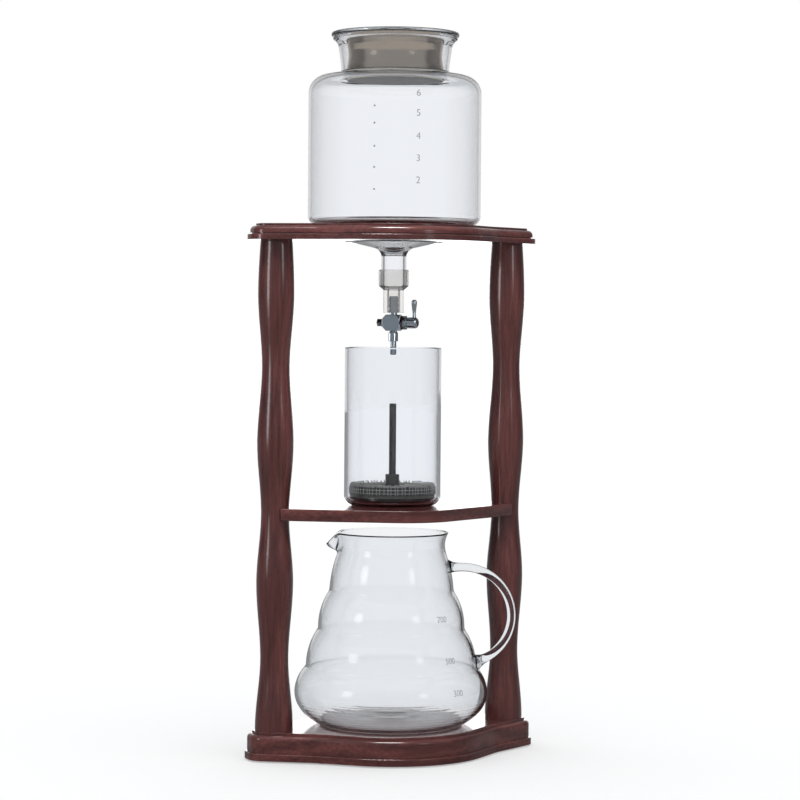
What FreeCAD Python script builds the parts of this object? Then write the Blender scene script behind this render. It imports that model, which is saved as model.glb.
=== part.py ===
import FreeCAD, Part
import math
import os

# Cold drip coffee tower: a glass water jar with a tap on a turned-post wooden stand, a dripper
# glass with its filter on the shelf below it, and a ribbed glass jug on the base.
#
# Lengths are millimetres.  X runs along the stand, Y from its front to its back and Z up.  The
# origin is the centre of the stand on the surface that its foot pads stand on.

# ---- stand: room for the glass --------------------------------------------------------------
PAD_PROUD = 1.0            # how far the foot pads hold the base board off the surface
SHELF_OVER_JUG = 9.9       # from the jug's rim up to the shelf
POST_FROM_JUG = 5.9        # from the jug's belly out to the foot of a post
BOARD_PAST_POST = 6.1      # from the foot of a post out to the end of the boards

# ---- stand: plan of the base board and the top plate ----------------------------------------
BOARD_END_HALF_DEPTH = 9.0     # where the flank meets the end, before its corner is rounded
BOARD_KINK_X = 63.7            # where the flank steepens towards the middle
BOARD_KINK_Y = 31.7
BOARD_HALF_DEPTH = 65.2        # at the middle of the bowed front and back
BOARD_BOW_RADIUS = 66.0
BOARD_HOLLOW_RADIUS = 45.0
BOARD_CORNER_RADIUS = 11.3

# each moulding step, from the bottom up: height, inset from the plan, radius of its top edge
BASE_STEPS = ((4.6, 0.0, 0.8), (11.7, 1.6, 3.0), (1.7, 4.8, 0.4))
PLATE_STEPS = ((3.6, 0.0, 0.6), (0.7, 2.9, 0.0), (4.8, 1.8, 3.4), (1.4, 5.6, 0.4))

# ---- stand: shelf ---------------------------------------------------------------------------
SHELF_THICKNESS = 7.9
SHELF_END_HALF_DEPTH = 11.5
SHELF_KINK_X = 57.2
SHELF_KINK_Y = 28.1
SHELF_HALF_DEPTH = 55.5
SHELF_BOW_RADIUS = 37.5
SHELF_HOLLOW_RADIUS = 60.0
SHELF_CORNER_RADIUS = 1.4
SHELF_EDGE_RADIUS = 0.8
NOTCH_CLEARANCE = 0.10         # between a post's waist and the shelf's half-round notch

# ---- stand: turned posts --------------------------------------------------------------------
POST_FOOT_RADIUS = 12.5
POST_WAIST_RADIUS = 9.2
POST_BULGE_RADIUS = 12.1
POST_TOP_RADIUS = 10.5
POST_LOWER_WAIST_RISE = 47.0   # above the base board
POST_LOWER_BULGE_DROP = 45.0   # below the middle of the shelf
POST_UPPER_BULGE_RISE = 47.2   # above the middle of the shelf
POST_UPPER_WAIST_DROP = 82.5   # below the top plate
POST_TOP_BULGE_DROP = 35.0
POST_HEAD_LEAN = 1.6           # how much steeper the head's end is than its chord

# ---- stand: fixings -------------------------------------------------------------------------
SCREW_RADIUS = 2.5
SCREW_HEAD_RADIUS = 4.7
SCREW_LENGTH = 40.0
SCREW_SINK = 0.4               # of the head under the base board's underside
SCREW_SLOT_WIDTH = 1.2
SCREW_SLOT_LENGTH = 5.6
SCREW_SLOT_DEPTH = 1.6
FIXING_CLEARANCE = 0.10        # round a screw or dowel, and over its end
TOP_DOWEL_RADIUS = 4.0
TOP_DOWEL_IN_PLATE = 7.0
TOP_DOWEL_IN_POST = 18.0
SHELF_DOWEL_RADIUS = 2.5
SHELF_DOWEL_IN_POST = 7.5
SHELF_DOWEL_IN_SHELF = 14.0
PAD_RADIUS = 6.5
PAD_THICKNESS = 2.0
PAD_X = 56.0
PAD_Y = 24.0
PAD_EDGE_RADIUS = 0.5

# ---- water jar ------------------------------------------------------------------------------
JAR_RADIUS = 57.2
JAR_WALL = 2.2
JAR_FOOT_RADIUS = 6.5          # of the rounded edge that stands on the plate
JAR_SHOULDER_RISE = 98.0       # from the plate up to the shoulder
JAR_SHOULDER_RADIUS = 12.0
JAR_NECK_RADIUS = 35.5         # outside, at the neck's waist
JAR_NECK_RISE = 5.5            # from the shoulder up to that waist
JAR_LIP_RISE = 21.4            # and on up to the lip
JAR_LIP_RADIUS = 41.3
JAR_LIP_THICKNESS = 1.8
JAR_LIP_WIDTH = 2.8            # of the flat top of the lip
JAR_FLARE = 2.4                # how far the neck has flared where it meets the lip
JAR_FLARE_DROP = 4.6           # of that place below the lip
JAR_NECK_BEND = 14.0           # bend radius of the neck's waist
JAR_COLLAR = 0.6               # how much wider the neck is at the shoulder than at its waist
JAR_EDGE = 0.6                 # rounding of the lip and of the outlet's tip
FUNNEL_TOP_RADIUS = 32.0       # outside, where the funnel leaves the jar's floor
FUNNEL_RADIUS = 30.5           # outside, where its wall turns into the shallow cone
FUNNEL_DROP = 10.5             # from the plate's top to that turn
FUNNEL_SLOPE_DEG = 13.0
FUNNEL_BEND = 2.5              # bend radius where the funnel's wall turns
OUTLET_BEND = 6.5              # and where the cone runs into the tube
OUTLET_RADIUS = 8.2
OUTLET_WALL = 1.9
OUTLET_TIP_DROP = 40.2         # from the plate's top to the tip of the outlet tube
FUNNEL_SEAM_DROP = 4.0         # from the plate's top to the seam between jar and funnel
PLATE_HOLE_CLEARANCE = 1.5     # round the funnel

# ---- lid ------------------------------------------------------------------------------------
CAP_RADIUS = 42.3
CAP_THICKNESS = 2.4
CAP_CROWN = 1.2                # how far its middle stands over its edge
CAP_BORDER = 4.0               # width of the flat border round the crown
CAP_EDGE = 0.8
STOPPER_TOP_RADIUS = 32.6
STOPPER_WAIST_RADIUS = 30.8
STOPPER_FOOT_RADIUS = 32.2
STOPPER_HEIGHT = 27.0
STOPPER_WALL = 1.8
STOPPER_RIM = 1.5              # height of the straight rim under the cap
STOPPER_WAIST_SHARE = 0.45     # of the way up from the packing to the cap
STOPPER_WAIST_BEND = 20.0
STOPPER_EDGE = 0.5
PACKING_HEIGHT = 3.6
PACKING_FLOOR = 1.2            # thickness under the stopper
PACKING_SEAT_DEPTH = 1.4       # how far the ring is let into the stopper
PACKING_BODY = 1.3             # width of the ring outside its seat
PACKING_LIP_HEIGHT = 0.8
PACKING_CLEARANCE = 0.30       # between the ring's lip and the waist of the neck

# ---- outlet joint and tap -------------------------------------------------------------------
JOINT_RADIUS = 10.0
JOINT_SOCKET_DEPTH = 11.3
JOINT_SLEEVE_RADIUS = 6.8
JOINT_SLEEVE_LENGTH = 17.2
JOINT_SHOULDER = 2.6           # height over which the socket narrows to the sleeve
JOINT_SHOULDER_RISE = 0.6      # from the outlet's tip up to where it starts to narrow
JOINT_CORNER_RADIUS = 3.0      # there
JOINT_EDGE = 0.4
JOINT_CLEARANCE = 0.05
TAP_AXIS_DEG = -48.0           # direction of the plug, from +X towards +Y
TAP_WIDTH = 13.0               # along the plug
TAP_HEIGHT = 10.8
TAP_DEPTH = 9.0
TAP_CORNER = 2.8
TAP_EDGE_RADIUS = 0.5
TAIL_RADIUS = 3.2
TAIL_NECK_RADIUS = 2.5
TAIL_LENGTH = 11.0
TAIL_SHANK = 1.2               # of the plain neck between the soft joint and the tap
TAIL_BARBS = 3
TAIL_BARB = 0.5                # depth of the grooves between the barbs
TAP_ROOT = 1.0                 # how deep the tail and the outlet are rooted in the block
TAP_OUTLET_FLARE = 0.9         # how much the outlet widens just below the block
TAP_OUTLET_FLARE_HEIGHT = 1.6
TAP_BORE_RADIUS = 1.2
TAP_OUTLET_RADIUS = 3.2
TAP_OUTLET_LENGTH = 7.0
NOZZLE_RADIUS = 2.05
NOZZLE_LENGTH = 8.9            # below the tap's outlet
NOZZLE_IN_DRIPPER = 4.9        # how far its tip reaches below the dripper's rim
NOZZLE_SPIGOT_RADIUS = 1.7
NOZZLE_SPIGOT_LENGTH = 3.4
NOZZLE_BORE_RADIUS = 0.9
NOZZLE_CHAMFER = 0.4           # round its tip
PLUG_RADIUS = 2.55
PLUG_CLEARANCE = 0.05          # running fit in the tap and its gland
GLAND_FLATS = 9.0
GLAND_NUT_LENGTH = 2.2
GLAND_COLLAR_RADIUS = 3.5
GLAND_COLLAR_LENGTH = 1.9
METAL_EDGE = 0.3               # rounding of the small turned pieces
ORING_WIDTH = 1.3
ORING_DEPTH = 0.6
ORING_SLACK = 0.1              # between the ring and each side of its groove
ORING_OFFSET = 4.2             # from the middle of the tap to the ring
HUB_RADIUS = 3.7
HUB_LENGTH = 7.0
HUB_GAP = 0.30                 # between the gland's collar and the hub
HUB_SOCKET_DEPTH = 5.0
HUB_FACE_EDGE = 0.6
HUB_DOME = 2.2                 # rounding of its outer end
LEVER_LENGTH = 11.6            # above the hub
LEVER_SINK = 0.8               # of its root into the hub
LEVER_ROOT_RADIUS = 1.3
LEVER_WAIST_RADIUS = 1.15
LEVER_WAIST_RISE = 4.0         # from its root to its waist
LEVER_WAIST_BEND = 6.0
LEVER_TIP_RADIUS = 1.9
LEVER_TIP_DROP = 2.4           # from its end down to where it is widest
LEVER_TIP_BEND = 1.5
LEVER_INSET = 2.7              # from the hub's outer end to the lever
WASHER_RADIUS = 3.3
WASHER_THICKNESS = 0.5
TAP_NUT_FLATS = 4.8
TAP_NUT_LENGTH = 4.2
STUD_RADIUS = 1.3
STUD_SHY = 0.5                 # how far the stud ends inside its nut

# ---- dripper glass --------------------------------------------------------------------------
DRIPPER_RADIUS = 32.0
DRIPPER_WALL = 2.2
DRIPPER_HEIGHT = 104.8
DRIPPER_FLOOR = 2.5
DRIPPER_CORNER_RADIUS = 6.5
DRIPPER_INNER_CORNER = 4.0
DRAIN_RADIUS = 10.0            # outside of the drain collar in the shelf's hole
DRAIN_DROP = 6.0
DRAIN_EDGE = 1.0
DRAIN_CLEARANCE = 1.0

# ---- filter ---------------------------------------------------------------------------------
GASKET_RADIUS = 28.3
GASKET_WIDTH = 5.8
GASKET_HEIGHT = 3.1
GASKET_BAND = 1.1              # height of its outer band
GASKET_EDGE = 0.4
FILTER_TOP_RADIUS = 29.3
FILTER_FOOT_RADIUS = 28.2
FILTER_HEIGHT = 8.6
FILTER_CORNER_RADIUS = 2.6
FILTER_MESH_THICKNESS = 0.5
FILTER_RING_WIDTH = 3.2
FILTER_RING_HEIGHT = 2.2
FILTER_SPOKES = 8
FILTER_SPOKE_WIDTH = 1.6
FILTER_SPOKE_HEIGHT = 1.8
FILTER_LEG_DEPTH = 1.2
FILTER_LEG_SINK = 1.2          # of each leg into the foot ring
FILTER_EDGE = 0.5
BOSS_RADIUS = 4.6
BOSS_RISE = 6.4                # above the mesh
STEM_RADIUS = 2.3
STEM_LENGTH = 47.0             # above the boss
STEM_PLAIN = 8.0               # length of its solid top
STEM_GROOVE_WIDTH = 1.5
STEM_GROOVE_DEPTH = 1.2
STEM_SEAT = 4.0                # depth of its socket in the boss
STEM_GROOVES = 4
STEM_EDGE = 0.5

# ---- jug ------------------------------------------------------------------------------------
RIM_ROUNDING = 0.4             # of a glass wall's thickness, at its rim
JUG_WALL = 2.0
JUG_FOOT_RADIUS = 45.0
JUG_BELLY_RADIUS = 64.0
JUG_BELLY_RISE = 17.7                 # above the jug's foot
JUG_GROOVE_RISE = 20.7                # from the belly up to the lowest groove
JUG_RIB_PITCH = 25.2
JUG_GROOVE_RADII = (56.9, 48.9, 41.6)    # at the groove under each rib, from the lowest up
JUG_RIB_BULGE = 2.1                   # how far each rib's arc stands out from its chord
JUG_SHOULDER_BULGE = 1.2              # the same, from the top groove up to the waist
JUG_HEEL_BULGE = 3.0                  # of the arc from the foot out to the belly
JUG_BELLY_BULGE = 2.6                 # of the arc from the belly in to the lowest groove
JUG_GROOVE_FILLET = 2.5
JUG_WAIST_RADIUS = 35.2
JUG_WAIST_FILLET = 15.0
JUG_WAIST_RISE = 27.5                 # from the top groove up to the waist
JUG_MOUTH_RISE = 11.7                 # and on up to the rim
JUG_NECK_HOLLOW = 0.9                 # of the flare from the waist to the mouth
JUG_MOUTH_RADIUS = 37.8
JUG_AXIS_DEG = -24.0           # direction of the handle, from +X towards +Y
SPOUT_OUT = 6.1                # from the rim out to the tip
SPOUT_DROP = 8.5               # of the tip below the rim
SPOUT_ROOT_RADIUS = 10.5
SPOUT_TIP_RADIUS = 2.6
SPOUT_WALL = 1.8
HANDLE_RADIUS = 2.8
HANDLE_BEND_RADIUS = 32.0
HANDLE_RISE = 2.0              # of the lower end above the lowest groove
HANDLE_SINK = 3.3              # of the lower end into the wall, before it is cut to the wall
HANDLE_SLOPE_DEG = 24.0        # at which the lower end leaves the wall
HANDLE_LEAD = 8.0              # length of the straight lower end
HANDLE_ROOT_RADIUS = 6.4
HANDLE_FLARE_LENGTH = 6.0

# ---- worked out -----------------------------------------------------------------------------
POST_X = JUG_BELLY_RADIUS + POST_FROM_JUG + POST_FOOT_RADIUS
BOARD_HALF_LENGTH = POST_X + POST_FOOT_RADIUS + BOARD_PAST_POST
BASE_THICKNESS = sum(step[0] for step in BASE_STEPS)
PLATE_THICKNESS = sum(step[0] for step in PLATE_STEPS)
BASE_TOP = PAD_PROUD + BASE_THICKNESS

# the jug stands on the base board, and the shelf is just over it
JUG_BELLY_Z = BASE_TOP + JUG_BELLY_RISE
JUG_GROOVES_Z = [JUG_BELLY_Z + JUG_GROOVE_RISE + i * JUG_RIB_PITCH for i in range(len(JUG_GROOVE_RADII))]
JUG_WAIST_Z = JUG_GROOVES_Z[-1] + JUG_WAIST_RISE
JUG_RIM_Z = JUG_WAIST_Z + JUG_MOUTH_RISE
SPOUT_REACH = JUG_MOUTH_RADIUS + SPOUT_OUT
SHELF_Z = JUG_RIM_Z + SHELF_OVER_JUG
SHELF_TOP = SHELF_Z + SHELF_THICKNESS
SHELF_MIDDLE = SHELF_Z + SHELF_THICKNESS / 2

# the dripper stands on the shelf, and the tap's nozzle hangs into it
DRIPPER_FLOOR_Z = SHELF_TOP + DRIPPER_FLOOR
DRIPPER_RIM_Z = SHELF_TOP + DRIPPER_HEIGHT
FILTER_Z = DRIPPER_FLOOR_Z + GASKET_HEIGHT
FILTER_TOP = FILTER_Z + FILTER_HEIGHT
NOZZLE_TIP_Z = DRIPPER_RIM_Z - NOZZLE_IN_DRIPPER
TAP_FOOT_Z = NOZZLE_TIP_Z + NOZZLE_LENGTH
TAP_Z = TAP_FOOT_Z + TAP_OUTLET_LENGTH + TAP_HEIGHT / 2
TAP_TOP_Z = TAP_Z + TAP_HEIGHT / 2
JOINT_FOOT_Z = TAP_TOP_Z + TAIL_SHANK

# the tap hangs from the jar's outlet, and the jar stands on the top plate
OUTLET_TIP_Z = JOINT_FOOT_Z + JOINT_SLEEVE_LENGTH
PLATE_TOP = OUTLET_TIP_Z + OUTLET_TIP_DROP
PLATE_Z = PLATE_TOP - PLATE_THICKNESS
JAR_SHOULDER_TOP = PLATE_TOP + JAR_SHOULDER_RISE
JAR_WAIST_Z = JAR_SHOULDER_TOP + JAR_NECK_RISE
JAR_LIP_Z = JAR_WAIST_Z + JAR_LIP_RISE
FUNNEL_SEAM_Z = PLATE_TOP - FUNNEL_SEAM_DROP
PLATE_HOLE_RADIUS = FUNNEL_TOP_RADIUS + PLATE_HOLE_CLEARANCE
SHELF_HOLE_RADIUS = DRAIN_RADIUS + DRAIN_CLEARANCE

Z_AXIS = FreeCAD.Vector(0, 0, 1)
ORIGIN = FreeCAD.Vector(0, 0, 0)


# ---- drawing helpers ------------------------------------------------------------------------
def on_plan(x, y):
    """A point of a plan outline."""
    return FreeCAD.Vector(x, y, 0)


def on_section(r, z):
    """A point of a half section, at a distance r from the Z axis."""
    return FreeCAD.Vector(r, 0, z)


def rounded_edges(corners, place):
    """Edges of the closed outline through (a, b, radius) corners, each rounded by a tangent arc."""
    starts, ends, arcs = [], [], []
    for i, (a, b, radius) in enumerate(corners):
        here = place(a, b)
        back = (place(*corners[i - 1][:2]) - here).normalize()
        on = (place(*corners[(i + 1) % len(corners)][:2]) - here).normalize()
        half = back.getAngle(on) / 2
        if radius <= 0 or abs(half - math.pi / 2) < 1e-6:
            starts.append(here)
            ends.append(here)
            arcs.append(None)
            continue
        start = here + back * (radius / math.tan(half))
        end = here + on * (radius / math.tan(half))
        middle = here + (back + on).normalize() * (radius / math.sin(half) - radius)
        starts.append(start)
        ends.append(end)
        arcs.append(Part.Arc(start, middle, end).toShape())
    edges = []
    for i, arc in enumerate(arcs):
        if arc:
            edges.append(arc)
        following = starts[(i + 1) % len(starts)]
        if ends[i].distanceToPoint(following) > 1e-6:
            edges.append(Part.LineSegment(ends[i], following).toShape())
    return edges


def rounded_face(corners, place):
    """The face inside a closed outline of (a, b, radius) corners."""
    return Part.Face(Part.Wire(rounded_edges(corners, place)))


def turned(corners):
    """A solid turned about the Z axis from (r, z, radius) corners."""
    return rounded_face(corners, on_section).revolve(ORIGIN, Z_AXIS, 360)


def rod(radius, length, start, along=Z_AXIS):
    """A plain cylinder from a point along a direction."""
    return Part.makeCylinder(radius, length, start, along)


def along_tap(u, z=0.0):
    """A point on the plug's axis (u from the tap's middle), raised by z."""
    return FreeCAD.Vector(u, 0, TAP_Z + z)


def turned_on_tap(corners):
    """A solid turned about the plug's axis, from (radius, u, fillet) corners."""
    solid = turned(corners)
    solid.rotate(ORIGIN, FreeCAD.Vector(0, 1, 0), 90)
    solid.translate(FreeCAD.Vector(0, 0, TAP_Z))
    return solid


def set_tap_direction(shape):
    """The shape turned from the X axis to the direction that the plug points in."""
    shape.rotate(ORIGIN, Z_AXIS, TAP_AXIS_DEG)
    return shape


def hexagon_prism(flats, length, bore):
    """A hexagon prism along +X, from its own origin, with a round bore."""
    reach = flats / math.sqrt(3)
    corners = [
        FreeCAD.Vector(0, reach * math.cos(math.radians(60 * i)), reach * math.sin(math.radians(60 * i)))
        for i in range(6)
    ]
    outline = Part.Wire(Part.makePolygon(corners + corners[:1]))
    prism = Part.Face(outline).extrude(FreeCAD.Vector(length, 0, 0))
    return prism.cut(rod(bore, length, ORIGIN, FreeCAD.Vector(1, 0, 0)))


def edges_at(shape, test):
    """The edges whose every end passes the test."""
    return [edge for edge in shape.Edges if all(test(v.Point) for v in edge.Vertexes)]


# ---- stand ----------------------------------------------------------------------------------
def bow_corner_y(half_depth, bow_radius, kink_x, kink_y):
    """Where the two flanks would meet in the middle, so that the bow between them ends at half_depth."""
    low, high = half_depth, half_depth + bow_radius
    for _ in range(60):
        middle = (low + high) / 2
        slope = math.atan2(middle - kink_y, kink_x)
        if middle - bow_radius * (1 / math.cos(slope) - 1) > half_depth:
            high = middle
        else:
            low = middle
    return low


def serpentine(half_length, end_half_depth, kink_x, kink_y, half_depth, bow, hollow, corner):
    """A closed plan with a bowed front and back, hollow flanks and narrow ends."""
    tip = bow_corner_y(half_depth, bow, kink_x, kink_y)
    corners = [(0, -tip, bow), (kink_x, -kink_y, hollow), (half_length, -end_half_depth, corner)]
    corners += [(half_length, end_half_depth, corner), (kink_x, kink_y, hollow), (0, tip, bow)]
    corners += [(-kink_x, kink_y, hollow), (-half_length, end_half_depth, corner)]
    corners += [(-half_length, -end_half_depth, corner), (-kink_x, -kink_y, hollow)]
    return Part.Wire(rounded_edges(corners, on_plan))


def moulded_board(bottom, steps):
    """A board of the serpentine plan whose edge is moulded in steps."""
    plan = serpentine(BOARD_HALF_LENGTH, BOARD_END_HALF_DEPTH, BOARD_KINK_X, BOARD_KINK_Y,
                      BOARD_HALF_DEPTH, BOARD_BOW_RADIUS, BOARD_HOLLOW_RADIUS, BOARD_CORNER_RADIUS)
    layers = []
    z = bottom
    for height, inset, edge_radius in steps:
        outline = plan.makeOffset2D(-inset) if inset else plan.copy()
        outline.translate(FreeCAD.Vector(0, 0, z))
        layer = Part.Face(outline).extrude(FreeCAD.Vector(0, 0, height))
        if edge_radius:
            top = z + height
            layer = layer.makeFillet(edge_radius, edges_at(layer, lambda p: abs(p.z - top) < 1e-6))
        layers.append(layer)
        z += height
    return layers[0].multiFuse(layers[1:]).removeSplitter()


def base_screw(x):
    """One countersunk screw with a cross recess, up through the base board into a post."""
    head_z = PAD_PROUD + SCREW_SINK
    cone = SCREW_HEAD_RADIUS - SCREW_RADIUS
    tip = head_z + SCREW_LENGTH
    screw = turned([(0, head_z, 0), (SCREW_HEAD_RADIUS, head_z, 0), (SCREW_RADIUS, head_z + cone, 0),
                    (SCREW_RADIUS, tip - SCREW_RADIUS, 0), (0, tip, 0)])
    for length, width in ((SCREW_SLOT_LENGTH, SCREW_SLOT_WIDTH), (SCREW_SLOT_WIDTH, SCREW_SLOT_LENGTH)):
        corner = FreeCAD.Vector(-length / 2, -width / 2, head_z)
        screw = screw.cut(Part.makeBox(length, width, SCREW_SLOT_DEPTH, corner))
    screw.translate(FreeCAD.Vector(x, 0, 0))
    return screw


def screw_hole(x):
    """The countersunk hole for a base screw."""
    hole_radius = SCREW_RADIUS + FIXING_CLEARANCE
    mouth = SCREW_HEAD_RADIUS + FIXING_CLEARANCE
    head_z = PAD_PROUD + SCREW_SINK
    tip = head_z + SCREW_LENGTH + FIXING_CLEARANCE
    hole = turned([(0, PAD_PROUD, 0), (mouth, PAD_PROUD, 0), (mouth, head_z, 0),
                   (hole_radius, head_z + mouth - hole_radius, 0), (hole_radius, tip - hole_radius, 0),
                   (0, tip, 0)])
    hole.translate(FreeCAD.Vector(x, 0, 0))
    return hole


def pad_places():
    return [FreeCAD.Vector(x, y, 0) for x in (-PAD_X, PAD_X) for y in (-PAD_Y, PAD_Y)]


def base_board():
    board = moulded_board(PAD_PROUD, BASE_STEPS)
    board = board.cut([screw_hole(-POST_X), screw_hole(POST_X)])
    recesses = [rod(PAD_RADIUS, PAD_THICKNESS, place) for place in pad_places()]
    return board.cut(recesses)


def foot_pads():
    pads = []
    for place in pad_places():
        pad = rod(PAD_RADIUS, PAD_THICKNESS, place)
        pads.append(pad.makeFillet(PAD_EDGE_RADIUS, edges_at(pad, lambda p: abs(p.z) < 1e-6)))
    return Part.makeCompound(pads)


def post_section():
    """Half section of a turned post: bulges and waists in one smooth curve."""
    stations = [
        (POST_FOOT_RADIUS, BASE_TOP),
        (POST_WAIST_RADIUS, BASE_TOP + POST_LOWER_WAIST_RISE),
        (POST_BULGE_RADIUS, SHELF_MIDDLE - POST_LOWER_BULGE_DROP),
        (POST_WAIST_RADIUS, SHELF_MIDDLE),
        (POST_BULGE_RADIUS, SHELF_MIDDLE + POST_UPPER_BULGE_RISE),
        (POST_WAIST_RADIUS, PLATE_Z - POST_UPPER_WAIST_DROP),
        (POST_BULGE_RADIUS, PLATE_Z - POST_TOP_BULGE_DROP),
        (POST_TOP_RADIUS, PLATE_Z),
    ]
    points = [on_section(r, z) for r, z in stations]
    upright = [Z_AXIS] * (len(points) - 1)
    leaning = FreeCAD.Vector(POST_TOP_RADIUS - POST_BULGE_RADIUS, 0, POST_TOP_BULGE_DROP / POST_HEAD_LEAN)
    curve = Part.BSplineCurve()
    curve.interpolate(Points=points, Tangents=upright + [leaning.normalize()],
                      TangentFlags=[True] * len(points))
    foot, top = on_section(0, BASE_TOP), on_section(0, PLATE_Z)
    edges = [curve.toShape(), Part.LineSegment(points[-1], top).toShape(),
             Part.LineSegment(top, foot).toShape(), Part.LineSegment(foot, points[0]).toShape()]
    return Part.Face(Part.Wire(edges))


def post(side):
    """The post at the left (side -1) or the right (side +1), with the holes of its fixings."""
    solid = post_section().revolve(ORIGIN, Z_AXIS, 360)
    solid.translate(FreeCAD.Vector(side * POST_X, 0, 0))
    dowel_depth = TOP_DOWEL_IN_POST + FIXING_CLEARANCE
    top_hole = rod(TOP_DOWEL_RADIUS + FIXING_CLEARANCE, dowel_depth,
                   FreeCAD.Vector(side * POST_X, 0, PLATE_Z - dowel_depth))
    return solid.cut([screw_hole(side * POST_X), top_hole, shelf_dowel_hole(side)])


def top_dowels():
    length = TOP_DOWEL_IN_POST + TOP_DOWEL_IN_PLATE
    return Part.makeCompound([
        rod(TOP_DOWEL_RADIUS, length, FreeCAD.Vector(x, 0, PLATE_Z - TOP_DOWEL_IN_POST))
        for x in (-POST_X, POST_X)
    ])


def shelf_dowel_rod(side, radius, extra):
    """A dowel, or its hole, that lies along X from inside a post into the shelf's end."""
    outer = POST_X - POST_WAIST_RADIUS + SHELF_DOWEL_IN_POST + extra
    length = SHELF_DOWEL_IN_POST + SHELF_DOWEL_IN_SHELF + 2 * extra
    return rod(radius, length, FreeCAD.Vector(side * outer, 0, SHELF_MIDDLE), FreeCAD.Vector(-side, 0, 0))


def shelf_dowel_hole(side):
    return shelf_dowel_rod(side, SHELF_DOWEL_RADIUS + FIXING_CLEARANCE, FIXING_CLEARANCE)


def shelf_dowels():
    return Part.makeCompound([shelf_dowel_rod(side, SHELF_DOWEL_RADIUS, 0.0) for side in (-1, 1)])


def shelf():
    """The shelf: a thin bowed board whose ends grip the posts' waists in half-round notches."""
    plan = serpentine(POST_X, SHELF_END_HALF_DEPTH, SHELF_KINK_X, SHELF_KINK_Y, SHELF_HALF_DEPTH,
                      SHELF_BOW_RADIUS, SHELF_HOLLOW_RADIUS, SHELF_CORNER_RADIUS)
    plan.translate(FreeCAD.Vector(0, 0, SHELF_Z))
    board = Part.Face(plan).extrude(FreeCAD.Vector(0, 0, SHELF_THICKNESS))
    rims = edges_at(board, lambda p: abs(p.z - SHELF_Z) < 1e-6 or abs(p.z - SHELF_TOP) < 1e-6)
    flat = [edge for edge in rims if abs(edge.Vertexes[0].Point.z - edge.Vertexes[-1].Point.z) < 1e-6]
    board = board.makeFillet(SHELF_EDGE_RADIUS, flat)
    waist = max(post_radius_at(SHELF_Z), post_radius_at(SHELF_TOP), POST_WAIST_RADIUS)
    cuts = [rod(SHELF_HOLE_RADIUS, SHELF_THICKNESS, FreeCAD.Vector(0, 0, SHELF_Z))]
    for side in (-1, 1):
        foot = FreeCAD.Vector(side * POST_X, 0, SHELF_Z)
        cuts.append(rod(waist + NOTCH_CLEARANCE, SHELF_THICKNESS, foot))
        cuts.append(shelf_dowel_hole(side))
    return board.cut(cuts)


def post_radius_at(z):
    """Radius of the turned posts at a height."""
    level = Part.LineSegment(on_section(0.1, z), on_section(3 * POST_BULGE_RADIUS, z)).toShape()
    return max(v.Point.x for v in post_section().common(level).Vertexes)


def top_plate():
    plate = moulded_board(PLATE_Z, PLATE_STEPS)
    hole = rod(PLATE_HOLE_RADIUS, PLATE_THICKNESS, FreeCAD.Vector(0, 0, PLATE_Z))
    sockets = [
        rod(TOP_DOWEL_RADIUS + FIXING_CLEARANCE, TOP_DOWEL_IN_PLATE + FIXING_CLEARANCE,
            FreeCAD.Vector(x, 0, PLATE_Z))
        for x in (-POST_X, POST_X)
    ]
    return plate.cut([hole] + sockets)


# ---- water jar ------------------------------------------------------------------------------
def jar_glass():
    """All of the jar: straight wall, shoulder and flared neck above a funnel with its outlet tube."""
    wall = JAR_WALL
    slope = math.tan(math.radians(FUNNEL_SLOPE_DEG))
    bore = OUTLET_RADIUS - OUTLET_WALL
    turn_z = PLATE_TOP - FUNNEL_DROP
    floor_z = PLATE_TOP + wall
    flare_z = JAR_LIP_Z - JAR_FLARE_DROP
    outside = [
        (OUTLET_RADIUS, OUTLET_TIP_Z, JAR_EDGE),
        (OUTLET_RADIUS, turn_z - (FUNNEL_RADIUS - OUTLET_RADIUS) * slope, OUTLET_BEND),
        (FUNNEL_RADIUS, turn_z, FUNNEL_BEND),
        (FUNNEL_TOP_RADIUS, PLATE_TOP, FUNNEL_BEND / 2),
        (JAR_RADIUS, PLATE_TOP, JAR_FOOT_RADIUS),
        (JAR_RADIUS, JAR_SHOULDER_TOP, JAR_SHOULDER_RADIUS),
        (JAR_NECK_RADIUS + JAR_COLLAR, JAR_SHOULDER_TOP + wall, wall),
        (JAR_NECK_RADIUS, JAR_WAIST_Z, JAR_NECK_BEND),
        (JAR_NECK_RADIUS + JAR_FLARE, flare_z, JAR_NECK_BEND / 2),
        (JAR_LIP_RADIUS, JAR_LIP_Z - JAR_LIP_THICKNESS, JAR_EDGE),
        (JAR_LIP_RADIUS, JAR_LIP_Z, JAR_EDGE),
    ]
    inside = [
        (JAR_LIP_RADIUS - JAR_LIP_WIDTH, JAR_LIP_Z, 2 * JAR_EDGE),
        (JAR_NECK_RADIUS + JAR_FLARE - wall, flare_z, JAR_NECK_BEND / 2),
        (JAR_NECK_RADIUS - wall, JAR_WAIST_Z, JAR_NECK_BEND),
        (JAR_NECK_RADIUS + JAR_COLLAR - wall, JAR_SHOULDER_TOP, 2 * wall),
        (JAR_RADIUS - wall, JAR_SHOULDER_TOP - wall, JAR_SHOULDER_RADIUS - wall),
        (JAR_RADIUS - wall, floor_z, JAR_FOOT_RADIUS - wall),
        (FUNNEL_TOP_RADIUS, floor_z, FUNNEL_BEND),
        (FUNNEL_RADIUS - wall, turn_z + wall, FUNNEL_BEND),
        (bore, turn_z + wall - (FUNNEL_RADIUS - wall - bore) * slope, OUTLET_BEND),
        (bore, OUTLET_TIP_Z, JAR_EDGE),
    ]
    return turned(outside + inside)


def jar_between(low, high):
    """The part of the jar's glass between two flat seams."""
    return jar_glass().common(rod(2 * JAR_RADIUS, high - low, on_section(0, low)))


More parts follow.
